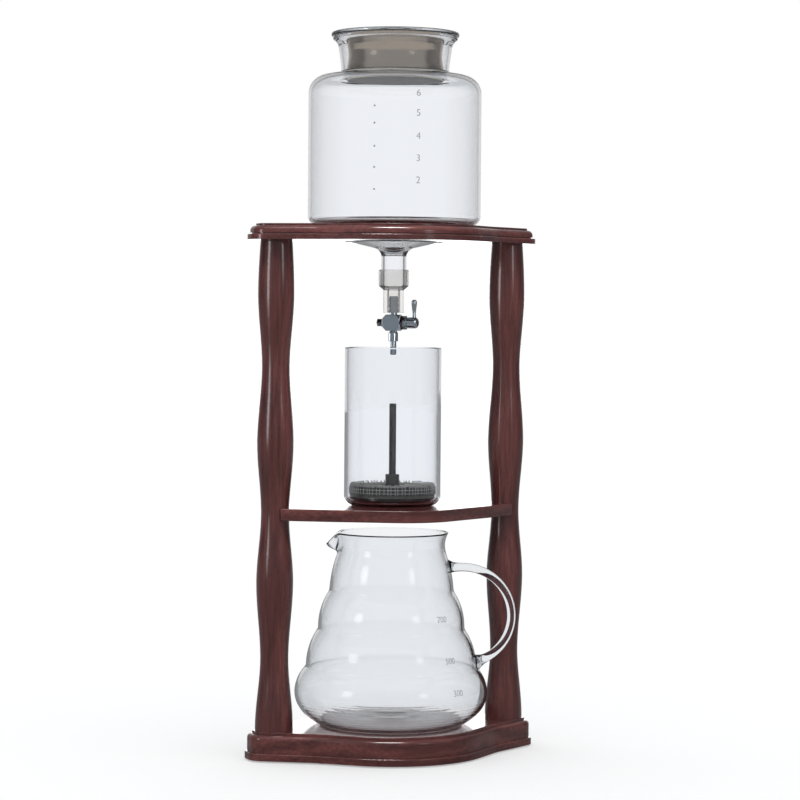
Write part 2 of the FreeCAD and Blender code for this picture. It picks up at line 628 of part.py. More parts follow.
def water_jar():
    """The jar itself: straight wall and shoulder, from the funnel up to the waist of the neck."""
    return jar_between(FUNNEL_SEAM_Z, JAR_WAIST_Z)


def jar_neck():
    """The flared neck with the lip that carries the lid."""
    return jar_between(JAR_WAIST_Z, JAR_LIP_Z)


def jar_funnel():
    """The funnel under the jar, down to the tip of its outlet tube."""
    return jar_between(OUTLET_TIP_Z, FUNNEL_SEAM_Z)


def lid_cap():
    """The clear cap that rests on the jar's lip."""
    top = JAR_LIP_Z + CAP_THICKNESS
    return turned([(0, JAR_LIP_Z, 0), (CAP_RADIUS, JAR_LIP_Z, CAP_EDGE), (CAP_RADIUS, top, CAP_EDGE),
                   (CAP_RADIUS - CAP_BORDER, top, CAP_BORDER / 2), (0, top + CAP_CROWN, 0)])


def lid_stopper():
    """The hollow waisted stopper under the cap, with a seat for the packing ring."""
    top = JAR_LIP_Z
    foot = top - STOPPER_HEIGHT + PACKING_FLOOR
    seat = STOPPER_FOOT_RADIUS - PACKING_SEAT_DEPTH
    seat_top = top - STOPPER_HEIGHT + PACKING_HEIGHT
    waist_z = seat_top + (top - seat_top) * STOPPER_WAIST_SHARE
    inner = STOPPER_WAIST_RADIUS - STOPPER_WALL
    return turned([
        (0, foot, 0), (seat, foot, STOPPER_EDGE), (seat, seat_top, 0),
        (STOPPER_FOOT_RADIUS, seat_top, STOPPER_EDGE), (STOPPER_WAIST_RADIUS, waist_z, STOPPER_WAIST_BEND),
        (STOPPER_TOP_RADIUS, top - STOPPER_RIM, 2 * STOPPER_EDGE), (STOPPER_TOP_RADIUS, top, 0),
        (inner, top, 0), (inner, foot + STOPPER_WALL, STOPPER_WALL), (0, foot + STOPPER_WALL, 0),
    ])


def lid_packing():
    """The soft cup under the stopper, whose one lip touches the neck."""
    foot = JAR_LIP_Z - STOPPER_HEIGHT
    floor = foot + PACKING_FLOOR
    top = foot + PACKING_HEIGHT
    seat = STOPPER_FOOT_RADIUS - PACKING_SEAT_DEPTH
    body = seat + PACKING_BODY
    lip = JAR_NECK_RADIUS - JAR_WALL - PACKING_CLEARANCE
    lip_z = (floor + top - PACKING_LIP_HEIGHT) / 2
    edge = PACKING_LIP_HEIGHT / 3
    return turned([
        (0, foot, 0), (body, foot, 2 * edge), (body, lip_z, edge), (lip, lip_z, edge),
        (lip, lip_z + PACKING_LIP_HEIGHT, edge), (body, top, 0), (seat, top, 0),
        (seat, floor, STOPPER_EDGE), (0, floor, 0),
    ])


# ---- outlet joint and tap -------------------------------------------------------------------
def outlet_joint():
    """The soft joint that joins the jar's outlet tube to the tap's tail."""
    socket = OUTLET_RADIUS + JOINT_CLEARANCE
    bore = TAIL_RADIUS + JOINT_CLEARANCE
    top = OUTLET_TIP_Z + JOINT_SOCKET_DEPTH
    turn_z = OUTLET_TIP_Z + JOINT_SHOULDER_RISE
    return turned([
        (bore, JOINT_FOOT_Z, JOINT_EDGE), (JOINT_SLEEVE_RADIUS, JOINT_FOOT_Z, JOINT_EDGE),
        (JOINT_SLEEVE_RADIUS, turn_z - JOINT_SHOULDER, 2 * JOINT_EDGE),
        (JOINT_RADIUS, turn_z, JOINT_CORNER_RADIUS),
        (JOINT_RADIUS, top, 2 * JOINT_EDGE), (socket, top, JOINT_EDGE), (socket, OUTLET_TIP_Z, 0),
        (bore, OUTLET_TIP_Z, JOINT_EDGE),
    ])


def tap_body():
    """The tap: an eight-sided block with a barbed tail above it and a round outlet below it."""
    half, low, high = TAP_WIDTH / 2, TAP_Z - TAP_HEIGHT / 2, TAP_TOP_Z
    cut = TAP_CORNER
    outline = [(-half, low + cut), (-half + cut, low), (half - cut, low), (half, low + cut),
               (half, high - cut), (half - cut, high), (-half + cut, high), (-half, high - cut)]
    points = [FreeCAD.Vector(u, -TAP_DEPTH / 2, z) for u, z in outline]
    block = Part.Face(Part.makePolygon(points + points[:1])).extrude(FreeCAD.Vector(0, TAP_DEPTH, 0))
    faces = edges_at(block, lambda p: p.y < 0) + edges_at(block, lambda p: p.y > 0)
    block = block.makeFillet(TAP_EDGE_RADIUS, faces)

    tail = [(0, high - TAP_ROOT, 0), (TAIL_NECK_RADIUS, high - TAP_ROOT, 0),
            (TAIL_NECK_RADIUS, JOINT_FOOT_Z, 0)]
    pitch = TAIL_LENGTH / TAIL_BARBS
    for i in range(TAIL_BARBS):
        foot = JOINT_FOOT_Z + i * pitch
        tail += [(TAIL_RADIUS, foot, 0), (TAIL_RADIUS - TAIL_BARB, foot + pitch, 0)]
    tail.append((0, JOINT_FOOT_Z + TAIL_LENGTH, 0))

    tip = TAP_FOOT_Z
    root = TAP_OUTLET_RADIUS - TAP_OUTLET_FLARE
    outlet = [(0, low + TAP_ROOT, 0), (0, tip, 0), (TAP_OUTLET_RADIUS, tip, TAP_EDGE_RADIUS),
              (TAP_OUTLET_RADIUS, low - TAP_OUTLET_FLARE_HEIGHT, 0), (root, low, 0),
              (root, low + TAP_ROOT, 0)]
    body = block.fuse([turned(tail), turned(outlet)]).removeSplitter()

    socket_depth = NOZZLE_SPIGOT_LENGTH + PLUG_CLEARANCE
    body = body.cut([
        rod(TAP_BORE_RADIUS, JOINT_FOOT_Z + TAIL_LENGTH - tip, FreeCAD.Vector(0, 0, tip)),
        rod(NOZZLE_SPIGOT_RADIUS + PLUG_CLEARANCE, socket_depth, FreeCAD.Vector(0, 0, tip)),
        rod(PLUG_RADIUS + PLUG_CLEARANCE, TAP_WIDTH, along_tap(-half), FreeCAD.Vector(1, 0, 0)),
    ])
    return set_tap_direction(body)


def drip_nozzle():
    """The thin nozzle in the tap's outlet."""
    root, tip = TAP_FOOT_Z, NOZZLE_TIP_Z
    return turned([
        (NOZZLE_BORE_RADIUS, tip, 0), (NOZZLE_RADIUS - NOZZLE_CHAMFER, tip, 0),
        (NOZZLE_RADIUS, tip + NOZZLE_CHAMFER, 0),
        (NOZZLE_RADIUS, root, 0), (NOZZLE_SPIGOT_RADIUS, root, 0),
        (NOZZLE_SPIGOT_RADIUS, root + NOZZLE_SPIGOT_LENGTH, 0),
        (NOZZLE_BORE_RADIUS, root + NOZZLE_SPIGOT_LENGTH, 0),
    ])


def tap_gland():
    """The gland nut and collar that the plug turns in."""
    bore = PLUG_RADIUS + PLUG_CLEARANCE
    nut = hexagon_prism(GLAND_FLATS, GLAND_NUT_LENGTH, bore)
    nut.translate(along_tap(TAP_WIDTH / 2))
    start = TAP_WIDTH / 2 + GLAND_NUT_LENGTH
    collar = turned_on_tap([(bore, start, 0), (GLAND_COLLAR_RADIUS, start, 0),
                            (GLAND_COLLAR_RADIUS, start + GLAND_COLLAR_LENGTH, METAL_EDGE),
                            (bore, start + GLAND_COLLAR_LENGTH, 0)])
    return set_tap_direction(nut.fuse(collar).removeSplitter())


def hub_start():
    return TAP_WIDTH / 2 + GLAND_NUT_LENGTH + GLAND_COLLAR_LENGTH + HUB_GAP


def tap_plug():
    """The plug: its cross hole lines up with the tap's bore when the lever points up."""
    half = TAP_WIDTH / 2
    groove = PLUG_RADIUS - ORING_DEPTH
    stud_end = -half - WASHER_THICKNESS - TAP_NUT_LENGTH + STUD_SHY
    seal_start, seal_end = ORING_OFFSET, ORING_OFFSET + ORING_WIDTH
    end = hub_start() + HUB_SOCKET_DEPTH
    plug = turned_on_tap([
        (0, stud_end, 0), (STUD_RADIUS, stud_end, METAL_EDGE), (STUD_RADIUS, -half, 0),
        (PLUG_RADIUS, -half, 0), (PLUG_RADIUS, seal_start, 0), (groove, seal_start, 0),
        (groove, seal_end, 0), (PLUG_RADIUS, seal_end, 0), (PLUG_RADIUS, end, METAL_EDGE), (0, end, 0),
    ])
    passage = rod(TAP_BORE_RADIUS, 4 * PLUG_RADIUS, along_tap(0, -2 * PLUG_RADIUS))
    return set_tap_direction(plug.cut(passage))


def tap_oring():
    """The sealing ring in the plug's groove."""
    inner = PLUG_RADIUS - ORING_DEPTH
    start, end = ORING_OFFSET + ORING_SLACK, ORING_OFFSET + ORING_WIDTH - ORING_SLACK
    edge = ORING_DEPTH / 3
    ring = turned_on_tap([(inner, start, edge), (PLUG_RADIUS, start, edge),
                          (PLUG_RADIUS, end, edge), (inner, end, edge)])
    return set_tap_direction(ring)


def tap_washer():
    """The washer between the tap and the nut on the plug's stud."""
    end = -TAP_WIDTH / 2
    bore = STUD_RADIUS + PLUG_CLEARANCE
    ring = turned_on_tap([(bore, end - WASHER_THICKNESS, 0), (WASHER_RADIUS, end - WASHER_THICKNESS, 0),
                          (WASHER_RADIUS, end, 0), (bore, end, 0)])
    return set_tap_direction(ring)


def tap_nut():
    """The nut that holds the plug in the tap."""
    nut = hexagon_prism(TAP_NUT_FLATS, TAP_NUT_LENGTH, STUD_RADIUS + PLUG_CLEARANCE)
    nut.translate(along_tap(-TAP_WIDTH / 2 - WASHER_THICKNESS - TAP_NUT_LENGTH))
    return set_tap_direction(nut)


def tap_lever():
    """The hub on the plug's end, and the lever that stands on it."""
    start = hub_start()
    end = start + HUB_LENGTH
    socket = PLUG_RADIUS + PLUG_CLEARANCE
    floor = start + HUB_SOCKET_DEPTH + PLUG_CLEARANCE
    hub = turned_on_tap([(socket, start, 0), (HUB_RADIUS, start, HUB_FACE_EDGE), (HUB_RADIUS, end, HUB_DOME),
                         (0, end, 0), (0, floor, 0), (socket, floor, 0)])
    foot = TAP_Z + HUB_RADIUS - LEVER_SINK
    tip = TAP_Z + HUB_RADIUS + LEVER_LENGTH
    blade = turned([(0, foot, 0), (LEVER_ROOT_RADIUS, foot, 0),
                    (LEVER_WAIST_RADIUS, foot + LEVER_WAIST_RISE, LEVER_WAIST_BEND),
                    (LEVER_TIP_RADIUS, tip - LEVER_TIP_DROP, LEVER_TIP_BEND),
                    (LEVER_TIP_RADIUS * 0.85, tip, LEVER_TIP_BEND), (0, tip, 0)])
    blade.translate(FreeCAD.Vector(end - LEVER_INSET, 0, 0))
    return set_tap_direction(hub.fuse(blade).removeSplitter())


# ---- dripper glass and filter ---------------------------------------------------------------
def dripper_glass():
    """The straight glass, with a drain collar that sits in the shelf's hole."""
    inner = DRIPPER_RADIUS - DRIPPER_WALL
    rim = DRIPPER_RIM_Z
    drain = DRAIN_RADIUS - DRIPPER_WALL
    drain_tip = SHELF_TOP - DRAIN_DROP
    edge = DRIPPER_WALL * RIM_ROUNDING
    return turned([
        (drain, drain_tip, edge), (DRAIN_RADIUS, drain_tip, edge), (DRAIN_RADIUS, SHELF_TOP, 0),
        (DRIPPER_RADIUS, SHELF_TOP, DRIPPER_CORNER_RADIUS), (DRIPPER_RADIUS, rim, edge),
        (inner, rim, edge), (inner, DRIPPER_FLOOR_Z, DRIPPER_INNER_CORNER),
        (drain, DRIPPER_FLOOR_Z, DRAIN_EDGE),
    ])


def filter_gasket():
    """The soft ring that the filter stands on."""
    flat = DRIPPER_RADIUS - DRIPPER_WALL - DRIPPER_INNER_CORNER - GASKET_EDGE
    inner = GASKET_RADIUS - GASKET_WIDTH
    return turned([
        (inner, DRIPPER_FLOOR_Z, 0), (flat, DRIPPER_FLOOR_Z, 0),
        (GASKET_RADIUS, FILTER_Z - GASKET_BAND, GASKET_EDGE), (GASKET_RADIUS, FILTER_Z, GASKET_EDGE),
        (inner, FILTER_Z, 0),
    ])


def filter_mesh():
    """The fine mesh: a shallow upturned basket over the frame, open in the middle for the boss."""
    t = FILTER_MESH_THICKNESS
    centre = BOSS_RADIUS + FIXING_CLEARANCE
    return turned([
        (FILTER_FOOT_RADIUS - t, FILTER_Z + FILTER_RING_HEIGHT, 0),
        (FILTER_FOOT_RADIUS, FILTER_Z + FILTER_RING_HEIGHT, 0),
        (FILTER_TOP_RADIUS, FILTER_TOP, FILTER_CORNER_RADIUS), (centre, FILTER_TOP, 0),
        (centre, FILTER_TOP - t, 0), (FILTER_TOP_RADIUS - t, FILTER_TOP - t, FILTER_CORNER_RADIUS - t),
    ])


def filter_frame():
    """The moulded frame under the mesh: a foot ring, spokes and the boss for the stem."""
    ring_inner = FILTER_FOOT_RADIUS - FILTER_RING_WIDTH
    ring = turned([(ring_inner, FILTER_Z, 0), (FILTER_FOOT_RADIUS, FILTER_Z, FILTER_EDGE),
                   (FILTER_FOOT_RADIUS, FILTER_Z + FILTER_RING_HEIGHT, 0),
                   (ring_inner, FILTER_Z + FILTER_RING_HEIGHT, 0)])
    under_mesh = FILTER_TOP - FILTER_MESH_THICKNESS
    spoke_z = under_mesh - FILTER_SPOKE_HEIGHT
    boss_top = FILTER_TOP + BOSS_RISE
    boss = turned([(0, spoke_z, 0), (BOSS_RADIUS, spoke_z, 0), (BOSS_RADIUS, boss_top, FILTER_EDGE),
                   (0, boss_top, 0)])
    seat = rod(STEM_RADIUS + FIXING_CLEARANCE, STEM_SEAT, FreeCAD.Vector(0, 0, boss_top - STEM_SEAT))
    boss = boss.cut(seat)
    inner, reach = BOSS_RADIUS - FILTER_SPOKE_WIDTH, ring_inner + FILTER_RING_WIDTH / 2
    leg_z = FILTER_Z + FILTER_RING_HEIGHT - FILTER_LEG_SINK
    side = -FILTER_SPOKE_WIDTH / 2
    spokes = []
    for i in range(FILTER_SPOKES):
        beam = Part.makeBox(reach - inner, FILTER_SPOKE_WIDTH, FILTER_SPOKE_HEIGHT,
                            FreeCAD.Vector(inner, side, spoke_z))
        leg = Part.makeBox(FILTER_LEG_DEPTH, FILTER_SPOKE_WIDTH, under_mesh - leg_z,
                           FreeCAD.Vector(reach - FILTER_LEG_DEPTH, side, leg_z))
        spoke = beam.fuse(leg)
        spoke.rotate(ORIGIN, Z_AXIS, 360 / FILTER_SPOKES * i)
        spokes.append(spoke)
    return ring.multiFuse([boss] + spokes).removeSplitter()


def filter_stem():
    """The lifting stem: a solid head over a grooved shank."""
    foot = FILTER_TOP + BOSS_RISE - STEM_SEAT
    top = FILTER_TOP + BOSS_RISE + STEM_LENGTH
    stem = turned([(0, foot, 0), (STEM_RADIUS, foot, 0), (STEM_RADIUS, top, STEM_EDGE), (0, top, 0)])
    length = top - STEM_PLAIN - foot
    grooves = []
    for i in range(STEM_GROOVES):
        groove = Part.makeBox(STEM_RADIUS, STEM_GROOVE_WIDTH, length,
                              FreeCAD.Vector(STEM_RADIUS - STEM_GROOVE_DEPTH, -STEM_GROOVE_WIDTH / 2, foot))
        groove.rotate(ORIGIN, Z_AXIS, 360 / STEM_GROOVES * (i + 0.5))
        grooves.append(groove)
    return stem.cut(grooves)


# ---- jug ------------------------------------------------------------------------------------
def bulging_arc(start, end, bulge):
    """An arc between two section points that stands out from its chord by bulge."""
    middle = (start + end) * 0.5
    chord = (end - start).normalize()
    outward = FreeCAD.Vector(chord.z, 0, -chord.x)
    return Part.Arc(start, middle + outward * bulge, end).toShape()


def jug_line():
    """Outer line of the jug's half section, from the axis under its foot to just above its rim."""
    foot = BASE_TOP
    heel = on_section(JUG_FOOT_RADIUS, foot)
    belly = on_section(JUG_BELLY_RADIUS, JUG_BELLY_Z)
    grooves = [on_section(r, z) for r, z in zip(JUG_GROOVE_RADII, JUG_GROOVES_Z)]
    waist = on_section(JUG_WAIST_RADIUS, JUG_WAIST_Z)
    mouth = on_section(JUG_MOUTH_RADIUS, JUG_RIM_Z)
    edges = [Part.LineSegment(on_section(0, foot), heel).toShape(),
             bulging_arc(heel, belly, JUG_HEEL_BULGE),
             bulging_arc(belly, grooves[0], JUG_BELLY_BULGE)]
    edges += [bulging_arc(a, b, JUG_RIB_BULGE) for a, b in zip(grooves, grooves[1:])]
    edges += [bulging_arc(grooves[-1], waist, JUG_SHOULDER_BULGE),
              bulging_arc(waist, mouth, -JUG_NECK_HOLLOW),
              Part.LineSegment(mouth, mouth + Z_AXIS * JUG_WALL).toShape()]
    return Part.Wire(edges)


def above_rim():
    """The space above the jug's rim."""
    return rod(2 * JUG_BELLY_RADIUS, JUG_RIM_Z, FreeCAD.Vector(0, 0, JUG_RIM_Z))


def jug_filled():
    """The solid that the outside of the jug's round body bounds."""
    line = jug_line()
    top = line.Vertexes[-1].Point
    closing = [Part.LineSegment(top, on_section(0, top.z)).toShape(),
               Part.LineSegment(on_section(0, top.z), on_section(0, BASE_TOP)).toShape()]
    return Part.Face(Part.Wire(line.Edges + closing)).revolve(ORIGIN, Z_AXIS, 360).cut(above_rim())


def jug_shell():
    """The jug's round glass wall and floor, without its spout."""
    section = jug_line().makeOffset2D(JUG_WALL, join=0, fill=True, openResult=True)
    shell = section.revolve(ORIGIN, Z_AXIS, 360).cut(above_rim())
    rings = [(r, z, JUG_GROOVE_FILLET) for r, z in zip(JUG_GROOVE_RADII, JUG_GROOVES_Z)]
    for r, z, fillet in rings + [(JUG_WAIST_RADIUS, JUG_WAIST_Z, JUG_WAIST_FILLET)]:
        ring = edges_at(shell, lambda p: abs(p.z - z) < 1e-3 and abs(math.hypot(p.x, p.y) - r) < 1e-3)
        shell = shell.makeFillet(fillet, ring)
    return shell.makeFillet(JUG_WALL * RIM_ROUNDING, edges_at(shell, lambda p: abs(p.z - JUG_RIM_Z) < 1e-6))


def spout_cone(root_radius, tip_radius, root_x, tip_x, tip_low):
    """A cone that lies along -X with its root at the rim's height and its tip's lowest point at tip_low."""
    along = FreeCAD.Vector(1, 0, 0)
    root = Part.makeCircle(root_radius, FreeCAD.Vector(root_x, 0, JUG_RIM_Z), along)
    tip = Part.makeCircle(tip_radius, FreeCAD.Vector(tip_x, 0, tip_low + tip_radius), along)
    return Part.makeLoft([Part.Wire(root), Part.Wire(tip)], True)


def above_spout():
    """The space over the sloping mouth of the spout."""
    tip_z = JUG_RIM_Z - SPOUT_DROP + SPOUT_TIP_RADIUS
    inner, outer, top = -JUG_WAIST_RADIUS, -2 * SPOUT_REACH, 2 * JUG_RIM_Z
    corners = [(inner, JUG_RIM_Z), (-SPOUT_REACH, tip_z), (outer, tip_z), (outer, top), (inner, top)]
    points = [FreeCAD.Vector(x, -SPOUT_REACH, z) for x, z in corners]
    return Part.Face(Part.makePolygon(points + points[:1])).extrude(FreeCAD.Vector(0, 2 * SPOUT_REACH, 0))


def jug_glass():
    """The jug, with its spout drawn out and down from the rim, opposite the handle."""
    low = JUG_RIM_Z - SPOUT_DROP
    root = -JUG_WAIST_RADIUS + JUG_WALL
    outer = spout_cone(SPOUT_ROOT_RADIUS, SPOUT_TIP_RADIUS, root, -SPOUT_REACH, low)
    inner = spout_cone(SPOUT_ROOT_RADIUS - SPOUT_WALL, SPOUT_TIP_RADIUS - SPOUT_WALL * 0.6, root + SPOUT_WALL,
                       -SPOUT_REACH + SPOUT_WALL * 0.4, low + SPOUT_WALL)
    glass = jug_shell().fuse(outer.cut(jug_filled())).cut([inner, above_rim(), above_spout()])
    glass.rotate(ORIGIN, Z_AXIS, JUG_AXIS_DEG)
    return glass


def on_bend(angle_deg):
    """From the centre of the handle's bend to a point of it."""
    a = math.radians(angle_deg)
    return FreeCAD.Vector(math.cos(a), 0, math.sin(a)) * HANDLE_BEND_RADIUS


def handle_end(foot, along, length):
    """A straight end of the handle's rod, flared where it is drawn onto the wall."""
    flare = Part.makeCone(HANDLE_ROOT_RADIUS, HANDLE_RADIUS, HANDLE_FLARE_LENGTH, foot, along)
    plain = rod(HANDLE_RADIUS, length - HANDLE_FLARE_LENGTH, foot + along * HANDLE_FLARE_LENGTH, along)
    return flare.fuse(plain)


def jug_handle():
    """The glass rod handle: one bend between two straight ends."""
    along = on_bend(HANDLE_SLOPE_DEG).normalize()
    lower_foot = on_section(JUG_GROOVE_RADII[0] - HANDLE_SINK, JUG_GROOVES_Z[0] + HANDLE_RISE)
    bend_start = lower_foot + along * HANDLE_LEAD
    centre = bend_start - on_bend(HANDLE_SLOPE_DEG - 90)
    bend_end = centre + on_bend(90)
    upper_foot = on_section(JUG_WAIST_RADIUS, bend_end.z)
    section = Part.Face(Part.Wire(Part.makeCircle(HANDLE_RADIUS, bend_start, along)))
    bend = section.revolve(centre, FreeCAD.Vector(0, -1, 0), 180 - HANDLE_SLOPE_DEG)
    ends = [handle_end(lower_foot, along, HANDLE_LEAD),
            handle_end(upper_foot, FreeCAD.Vector(1, 0, 0), bend_end.x - upper_foot.x)]
    handle = bend.fuse(ends).cut(jug_filled()).removeSplitter()
    handle.rotate(ORIGIN, Z_AXIS, JUG_AXIS_DEG)
    return handle


OUTPUTS = {
    "base_board": base_board,
    "foot_pads": foot_pads,
    "base_screws": lambda: Part.makeCompound([base_screw(-POST_X), base_screw(POST_X)]),
    "left_post": lambda: post(-1),
    "right_post": lambda: post(1),
    "top_dowels": top_dowels,
    "shelf": shelf,
    "shelf_dowels": shelf_dowels,
    "top_plate": top_plate,
    "water_jar": water_jar,
    "jar_neck": jar_neck,
    "jar_funnel": jar_funnel,
    "lid_cap": lid_cap,
    "lid_stopper": lid_stopper,
    "lid_packing": lid_packing,
    "outlet_joint": outlet_joint,
    "tap_body": tap_body,
    "drip_nozzle": drip_nozzle,
    "tap_gland": tap_gland,
    "tap_plug": tap_plug,
    "tap_oring": tap_oring,
    "tap_washer": tap_washer,
    "tap_nut": tap_nut,
    "tap_lever": tap_lever,
    "dripper_glass": dripper_glass,
    "filter_gasket": filter_gasket,
    "filter_mesh": filter_mesh,
    "filter_frame": filter_frame,
    "filter_stem": filter_stem,
    "jug_glass": jug_glass,
    "jug_handle": jug_handle,
}

os.makedirs("parts", exist_ok=True)
for node, make in OUTPUTS.items():
    shape = make()
    assert shape.isValid(), node
    shape.exportStep(os.path.join("parts", node + ".step"))
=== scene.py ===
import math
import random

import bmesh
import bpy
from mathutils import Matrix, Vector


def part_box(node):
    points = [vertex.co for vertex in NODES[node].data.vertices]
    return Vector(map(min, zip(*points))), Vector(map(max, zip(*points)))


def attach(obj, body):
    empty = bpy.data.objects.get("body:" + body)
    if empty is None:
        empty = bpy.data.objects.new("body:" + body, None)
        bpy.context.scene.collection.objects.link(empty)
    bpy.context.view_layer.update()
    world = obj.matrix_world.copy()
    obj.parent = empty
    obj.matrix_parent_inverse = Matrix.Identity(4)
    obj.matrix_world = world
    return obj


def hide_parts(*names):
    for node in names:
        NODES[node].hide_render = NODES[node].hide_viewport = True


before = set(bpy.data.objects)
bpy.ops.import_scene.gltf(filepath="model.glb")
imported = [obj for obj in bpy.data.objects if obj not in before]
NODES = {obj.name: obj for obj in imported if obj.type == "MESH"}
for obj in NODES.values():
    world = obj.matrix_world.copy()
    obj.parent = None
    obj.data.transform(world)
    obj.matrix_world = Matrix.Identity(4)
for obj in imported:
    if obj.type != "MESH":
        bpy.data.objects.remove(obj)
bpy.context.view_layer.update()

SCENE = bpy.context.scene

# The camera stands on the tower's front left, about as high as its tap, and looks slightly down.
CAMERA_DISTANCE = 1.7306
CAMERA_HEIGHT = 0.2913
CAMERA_TURN = math.radians(22.01)    # from straight in front, to the left
CAMERA_LENS = 117.31                 # mm
CAMERA_SENSOR = 36.0                 # mm
CAMERA_CLIP = (0.05, 50.0)
CAMERA_PITCH = math.radians(-1.873)
CAMERA_YAW = math.radians(0.157)     # off the tower's axis, to the right
CAMERA_ROLL = math.radians(0.421)

TO_CAMERA = Vector((-math.sin(CAMERA_TURN), -math.cos(CAMERA_TURN), 0.0))
CAMERA_RIGHT = Vector((math.cos(CAMERA_TURN), -math.sin(CAMERA_TURN), 0.0))

MM = 0.001
TURNS = 192                          # facets round a turned glass
ARC_FACETS = 10                      # facets of a rounded corner
WELD = 1e-6                          # points nearer than this become one
NEARLY_STRAIGHT = 1e-4               # a corner this flat, in radians, isn't rounded

# heights and radii that the frame gives
PLATE_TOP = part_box("top_plate")[1][2]
JAR_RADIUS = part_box("water_jar")[1][0]
JAR_WAIST_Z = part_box("water_jar")[1][2]
JAR_LIP_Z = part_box("jar_neck")[1][2]
JAR_LIP_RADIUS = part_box("jar_neck")[1][0]
OUTLET_TIP_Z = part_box("jar_funnel")[0][2]
JUG_FOOT_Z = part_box("jug_glass")[0][2]
JUG_RIM_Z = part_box("jug_glass")[1][2]
NET_LOW, NET_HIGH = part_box("filter_mesh")

# the jar's glass, which is one piece
JAR_WALL = 2.2 * MM
JAR_FOOT_ROUND = 6.5 * MM
SHOULDER_ROUND = 12.0 * MM
NECK_RISE = 5.5 * MM                 # from the shoulder up to the neck's waist
NECK_RADIUS = 35.5 * MM
NECK_COLLAR = 0.6 * MM
NECK_FLARE = 2.4 * MM
FLARE_DROP = 4.6 * MM
NECK_BEND = 14.0 * MM
LIP_THICKNESS = 1.8 * MM
LIP_WIDTH = 2.8 * MM
LIP_EDGE = 0.6 * MM                  # rounding of the lip and of the outlet's end
FUNNEL_TOP_RADIUS = 32.0 * MM
FUNNEL_RADIUS = 30.5 * MM
FUNNEL_DROP = 10.5 * MM
FUNNEL_EDGE = 2.5 * MM               # rounding of its upper edge
FUNNEL_SLOPE = math.tan(math.radians(13.0))
FUNNEL_BEND = 6.5 * MM               # rounding from the funnel into the outlet
OUTLET_RADIUS = 8.2 * MM
OUTLET_BORE = 6.3 * MM

# the jug's glass with its handle, also one piece
JUG_AXIS = math.radians(-24.0)       # towards the handle
JUG_WALL = 2.0 * MM
JUG_FLOOR = 1.3 * JUG_WALL
JUG_STATIONS = (                     # radius, rise over the foot, bulge of the arc up to the next one
    (45.0 * MM, 0.0, 3.4 * MM),
    (64.3 * MM, 17.7 * MM, 2.6 * MM),
    (56.7 * MM, 38.4 * MM, 2.1 * MM),
    (48.7 * MM, 63.6 * MM, 2.1 * MM),
    (41.4 * MM, 88.8 * MM, 1.2 * MM),
    (35.2 * MM, 116.3 * MM, -0.9 * MM),
    (37.8 * MM, 128.0 * MM, 0.0),
)
JUG_SOFTNESS = (4.0, 9.0, 2.2, 2.2, 2.2, 8.0, 0.5)    # mm over which each station is rounded
LINE_STEP = 0.5 * MM                 # between the points of the jug's outline
LIP_STEPS = 8                        # facets over the jug's rim
LIP_ROUND = 0.8                      # how round the rim is; 1 is a half circle
FOOT_EDGE = 1.0 * MM                 # width of the ring that the jug stands on
FOOT_HOLLOW = 0.25 * MM              # how far the floor inside that ring is off the ground
PUNT_RISE = 2.2 * MM                 # how far the middle of the jug's floor is pushed up
PUNT_RADIUS = 15.0 * MM
PUNT_INSIDE = 0.8                    # share of the rise that the floor's upper face has
PUNT_STEPS = 24
SPOUT_OUT = 6.1 * MM
SPOUT_DROP = 8.2 * MM
SPOUT_HEIGHT = 17.0 * MM             # of the neck that is drawn out
SPOUT_SPREAD = math.radians(27.0)    # to each side of the spout's tip
SPOUT_POINT = 1.7                    # power that gathers the spout at its tip
SPOUT_CURL = 1.3                     # power that turns it out late
SPOUT_PINCH = 0.35                   # share by which its sides come together
HANDLE_RADIUS = 2.8 * MM
HANDLE_BEND = 32.0 * MM
HANDLE_SLOPE = math.radians(24.0)
HANDLE_LEAD = 8.0 * MM
HANDLE_FLARE = 2.4 * MM
HANDLE_FLARE_LENGTH = 3.4 * MM
HANDLE_FLARE_POWER = 1.4
HANDLE_BURIED = (3.6 * MM, 2.6 * MM)    # of the lower and upper end, inside the jug's wall
HANDLE_FOOT = (53.6 * MM, 40.4 * MM)    # radius and rise of the lower end
HANDLE_ROOT = 34.3 * MM              # radius at which the upper end starts, inside the wall
LEAD_STEPS = 8                       # of the handle's path: lower lead, bend, and upper arm
BEND_STEPS = 60
ARM_STEPS = 16
ROD_SIDES = 40
CUT_DEPTH = 0.6                      # share of the wall down to which the handle's ends stay
CREASE = math.radians(50.0)          # the jug is shaded smooth over flatter edges

# What a mirrored ray sees of the room, from 0 at the camera to 1 straight behind the tower.
ROOM_WALLS = (
    (0.36, (0.24, 0.262, 0.29)),     # a dim room in front
    (0.46, (0.08, 0.088, 0.10)),     # dark flags at the sides
    (0.82, (0.13, 0.14, 0.158)),
    (0.91, 0.40),                    # a light wall behind
    (0.97, 0.78),
)
ROOM_CEILING = (0.34, 0.345, 0.35)
CEILING_FROM = 0.42                  # upward part of the ray's direction
CEILING_FULL = 0.66
SOFT_LIGHT = (0.86, 0.87, 0.88)      # what falls on matt surfaces
WHITE = (1.0, 1.0, 1.0)

FLOOR_HALF = 6.0                     # half its width, in metres
FLOOR_TONES = ((0.3, 0.72), (0.7, 0.75))
FLOOR_LIFT = 0.385                   # its own light where it is seen, which brings it up to white
FLOOR_MIRRORED = 0.35                # share of that light that a mirrored ray sees

LAMP_AIM = Vector((0.0, 0.0, 0.24))  # about the tower's middle
LAMP_POWER = 3.0                     # a panel glows as a rounded square of this power
LAMP_GLOW = ((0.22, 1.0), (0.5, 0.0))    # its fall from full to none, in widths from the middle

